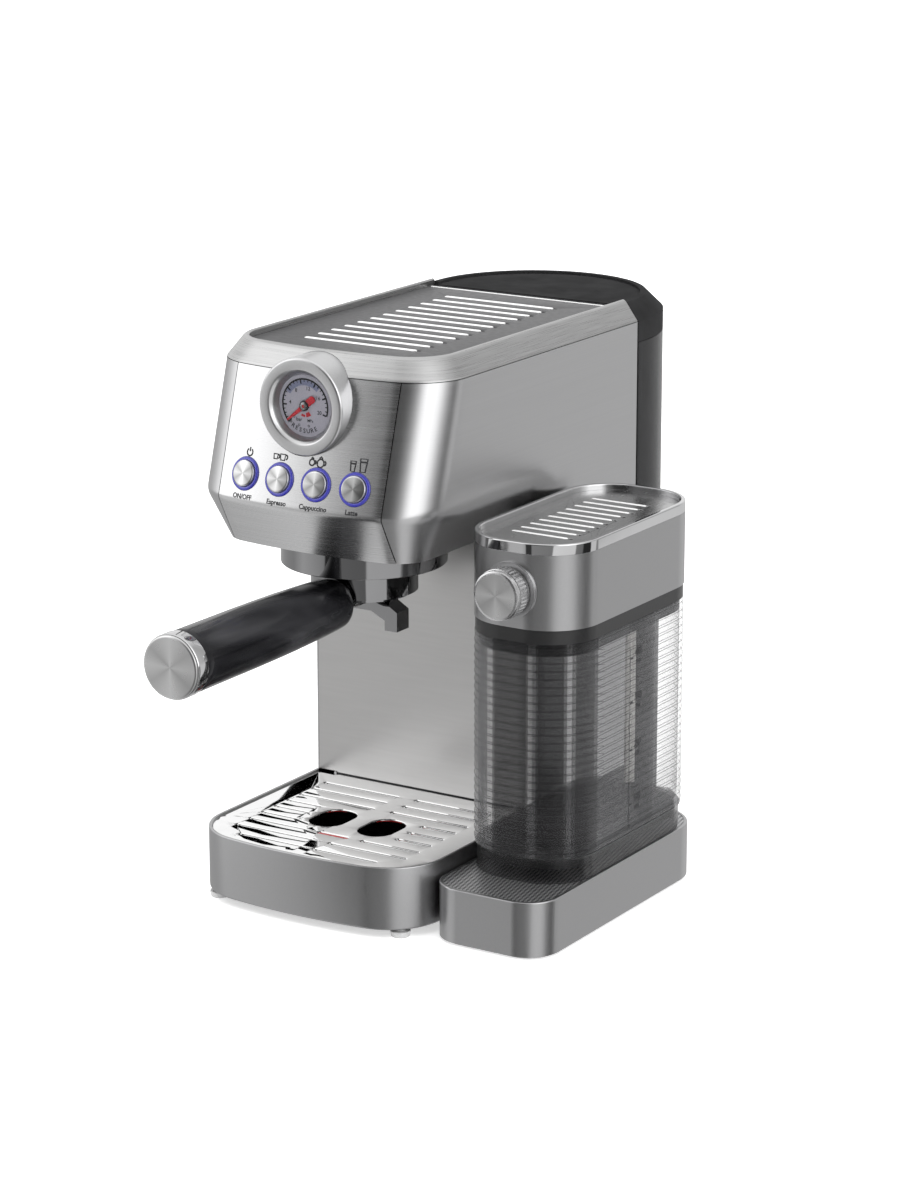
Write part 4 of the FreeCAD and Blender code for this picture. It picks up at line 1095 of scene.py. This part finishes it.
# ---- CAD nodes that keep their shape
KEPT = {
    "black_plastic": {"back_panel": 0.4, "base_plate": 0.4, "base_chassis": 0.8, "water_pump": 0.6,
                      "drip_pan": 0.4},
    "polished_steel": {"shower_screen": 0.15, "case_screws": 0.2, "coffee_basket": 0.2, "milk_trim_ring": 0.2,
                       "milk_spout": 0.6},
    "satin_grey": {"underside_plate": 0.3, "milk_base": 0.6, "milk_head_shell": 0.35},
    # Chrome with painted dark reflection.
    "chrome_painted_dark": {"group_collar": 0.5, "filter_holder": 0.5, "spout_block": 0.6},
    "white_plastic": {"tank_valve_seat": 0.3, "tank_valve": 0.4, "froth_valve": 0.5},
    "silicone": {"suction_hose": 0, "pressure_hose": 0, "pickup_tube": 0},
    "cast_aluminium": {"group_head": 0.4, "thermoblock": 0.6},
    "rubber_black": {"group_gasket": 0.3, "power_gland": 0.6},
    "brass": {"steam_valve": 0.4, "steam_outlet": 0.3},
    "circuit_board": {"control_board": 0.2, "switch_board": 0.2},
    "dark_plate": {"warming_plate": 0},
    "steel_column": {"column_panel": 0.3},
    "mesh_mat": {"milk_mat": 0.2},
    "grid_steel": {"drip_grid": 0},
    "red_plastic": {"tray_float": 0.5},
    "smoked_plastic": {"water_tank": 0.6},
    "smoked_lid": {"tank_lid": 0.7},
    "milk_plate": {"milk_top_plate": 0.2},
    "gasket": {"milk_gasket": 0.3},
}


def keep_nodes():
    """Dress the CAD nodes; KEPT gives each one's edge rounding in millimetres, by material."""
    listed = [(material, *row) for material, radii in KEPT.items() for row in radii.items()]
    for material, name, radius in listed:
        obj = NODES[name]
        obj.data.materials.clear()
        obj.data.materials.append(MAT[material])
        obj.data.polygons.foreach_set("material_index", [0] * len(obj.data.polygons))
        modify(obj, "WELD", merge_threshold=0.00001)
        if radius:
            modify(obj, "BEVEL", width=radius * MM, segments=3, limit_method="ANGLE",
                   angle_limit=radians(38), use_clamp_overlap=True)
        smooth(obj.data)
        modify(obj, "WEIGHTED_NORMAL", keep_sharp=True)


make_fascia()
make_side(-1)
make_side(1)
make_bezel()
make_bars()
make_tray()
make_feet()
make_handle()
make_gauge()
make_dial_print()
make_needle()
make_buttons()
make_icons()
make_jar()
make_jar_scale()
make_knob()
keep_nodes()


# ---- camera, lights and floor
def stage_plane(name, corners, material):
    """One flat quad of the surroundings."""
    mesh = bpy.data.meshes.new(name)
    mesh.from_pydata(corners, [], [(0, 1, 2, 3)])
    mesh.materials.append(material)
    obj = add(name, mesh)
    return obj


def dark_card(name, x0, x1, y, z0, z1):
    """Upright black card seen only in reflections."""
    made = bpy.data.materials.new(name)
    made.use_nodes = True
    tree = made.node_tree
    feed(tree, tree.nodes["Principled BSDF"], {"Base Color": (0, 0, 0, 1), "Specular IOR Level": 0.0})
    card = stage_plane(name, [(x0, y, z0), (x1, y, z0), (x1, y, z1), (x0, y, z1)], made)
    card.visible_camera = False
    card.visible_diffuse = False
    card.visible_shadow = False


# Brightness of the surroundings by bearing from the front, + to the right, in two belts.
LOW_SKY = [
    (-90, 0.55), (-80, 0.55), (-60, 0.85), (-45, 0.75), (-30, 0.62), (-23, 0.50), (-21.5, 0.05), (-9.5, 0.05),
    (-8, 0.30), (35, 0.26), (37, 0.95), (84, 0.90), (86, 0.25), (102, 0.20), (103.5, 0.03), (123, 0.03),
    (124.5, 0.80), (141, 0.80), (142, 0.35), (149, 0.35), (150.5, 0.85), (180, 0.75), (210, 0.50), (270, 0.55),
]
HIGH_SKY = [
    (-90, 1.10), (-62, 2.1), (-46, 1.8), (-34, 1.05), (-24, 0.56), (-15, 0.14), (-6, 0.05), (22, 0.07),
    (40, 0.45), (54, 2.4), (84, 2.4), (96, 1.5), (112, 0.8), (150, 0.55), (165, 0.75), (180, 0.95), (270, 1.10),
]
SKY_TOP = 2.4
CEILING = 1.15 / SKY_TOP


def sky_band(tree, around, stops):
    shares = [((bearing + 90) / 360, value / SKY_TOP) for bearing, value in stops]
    return ramp(tree, around, grey_stops(shares))


def make_world():
    """Studio surroundings seen in the metal: a belt below eye level, one above it, and a pale ceiling."""
    world = bpy.data.worlds.new("studio")
    bpy.context.scene.world = world
    world.use_nodes = True
    tree = world.node_tree
    bearing = node(tree, "ShaderNodeTexCoord").outputs["Generated"]
    around = node(tree, "ShaderNodeTexGradient", {"Vector": bearing}, gradient_type="RADIAL").outputs["Fac"]
    height = node(tree, "ShaderNodeSeparateXYZ", {"Vector": bearing}).outputs["Z"]
    low = sky_band(tree, around, LOW_SKY)
    high = sky_band(tree, around, HIGH_SKY)
    belt = ranged(tree, height, 0.0, 1.0, -0.06, 0.06)
    belts = node(tree, "ShaderNodeMix", {"Factor": belt, "A": low, "B": high}, data_type="RGBA")
    rise = ranged(tree, height, 0.0, 1.0, 0.62, 0.95)
    sky = node(tree, "ShaderNodeMix", {"Factor": rise, "A": belts.outputs["Result"], "B": (*(CEILING,) * 3, 1)},
               data_type="RGBA")
    feed(tree, tree.nodes["Background"], {"Color": sky.outputs["Result"], "Strength": SKY_TOP})


def make_camera():
    camera = bpy.data.cameras.new("camera")
    eye = add("camera", camera)
    a = radians(CAMERA_BEARING)
    e = radians(CAMERA_HEIGHT)
    back = Vector((sin(a) * cos(e), -cos(a) * cos(e), sin(e)))
    right = Vector((cos(a), sin(a), 0))
    up = back.cross(right)
    eye.location = CAMERA_PLACE
    eye.rotation_mode = "QUATERNION"
    eye.rotation_quaternion = Matrix((right, up, back)).transposed().to_quaternion()
    camera.lens = CAMERA_LENS
    camera.sensor_width = 36
    camera.shift_x, camera.shift_y = CAMERA_SHIFT
    camera.clip_start = 0.05
    camera.clip_end = 60
    bpy.context.scene.camera = eye


def make_stage():
    make_world()
    reach = 14.0
    corners = [(-reach, -reach, 0), (reach, -reach, 0), (reach, reach, 0), (-reach, reach, 0)]
    paper = finish("floor", (0.92, 0.92, 0.92), 0, 0.7, 0.05, 0.003, 3, 2, specular=0.1, emission=0.55)
    floor = stage_plane("floor", corners, paper)
    floor.visible_glossy = False

    sun = bpy.data.lights.new("sky", "SUN")
    sun.energy = 1.1
    sun.angle = radians(80)
    overhead = add("sky", sun)
    overhead.visible_glossy = False
    dark_card("dark_back_left", -1.271, -1.194, 1.6, 0.05, 2.2)
    make_camera()
    bpy.context.scene.view_settings.view_transform = "Standard"


make_stage()
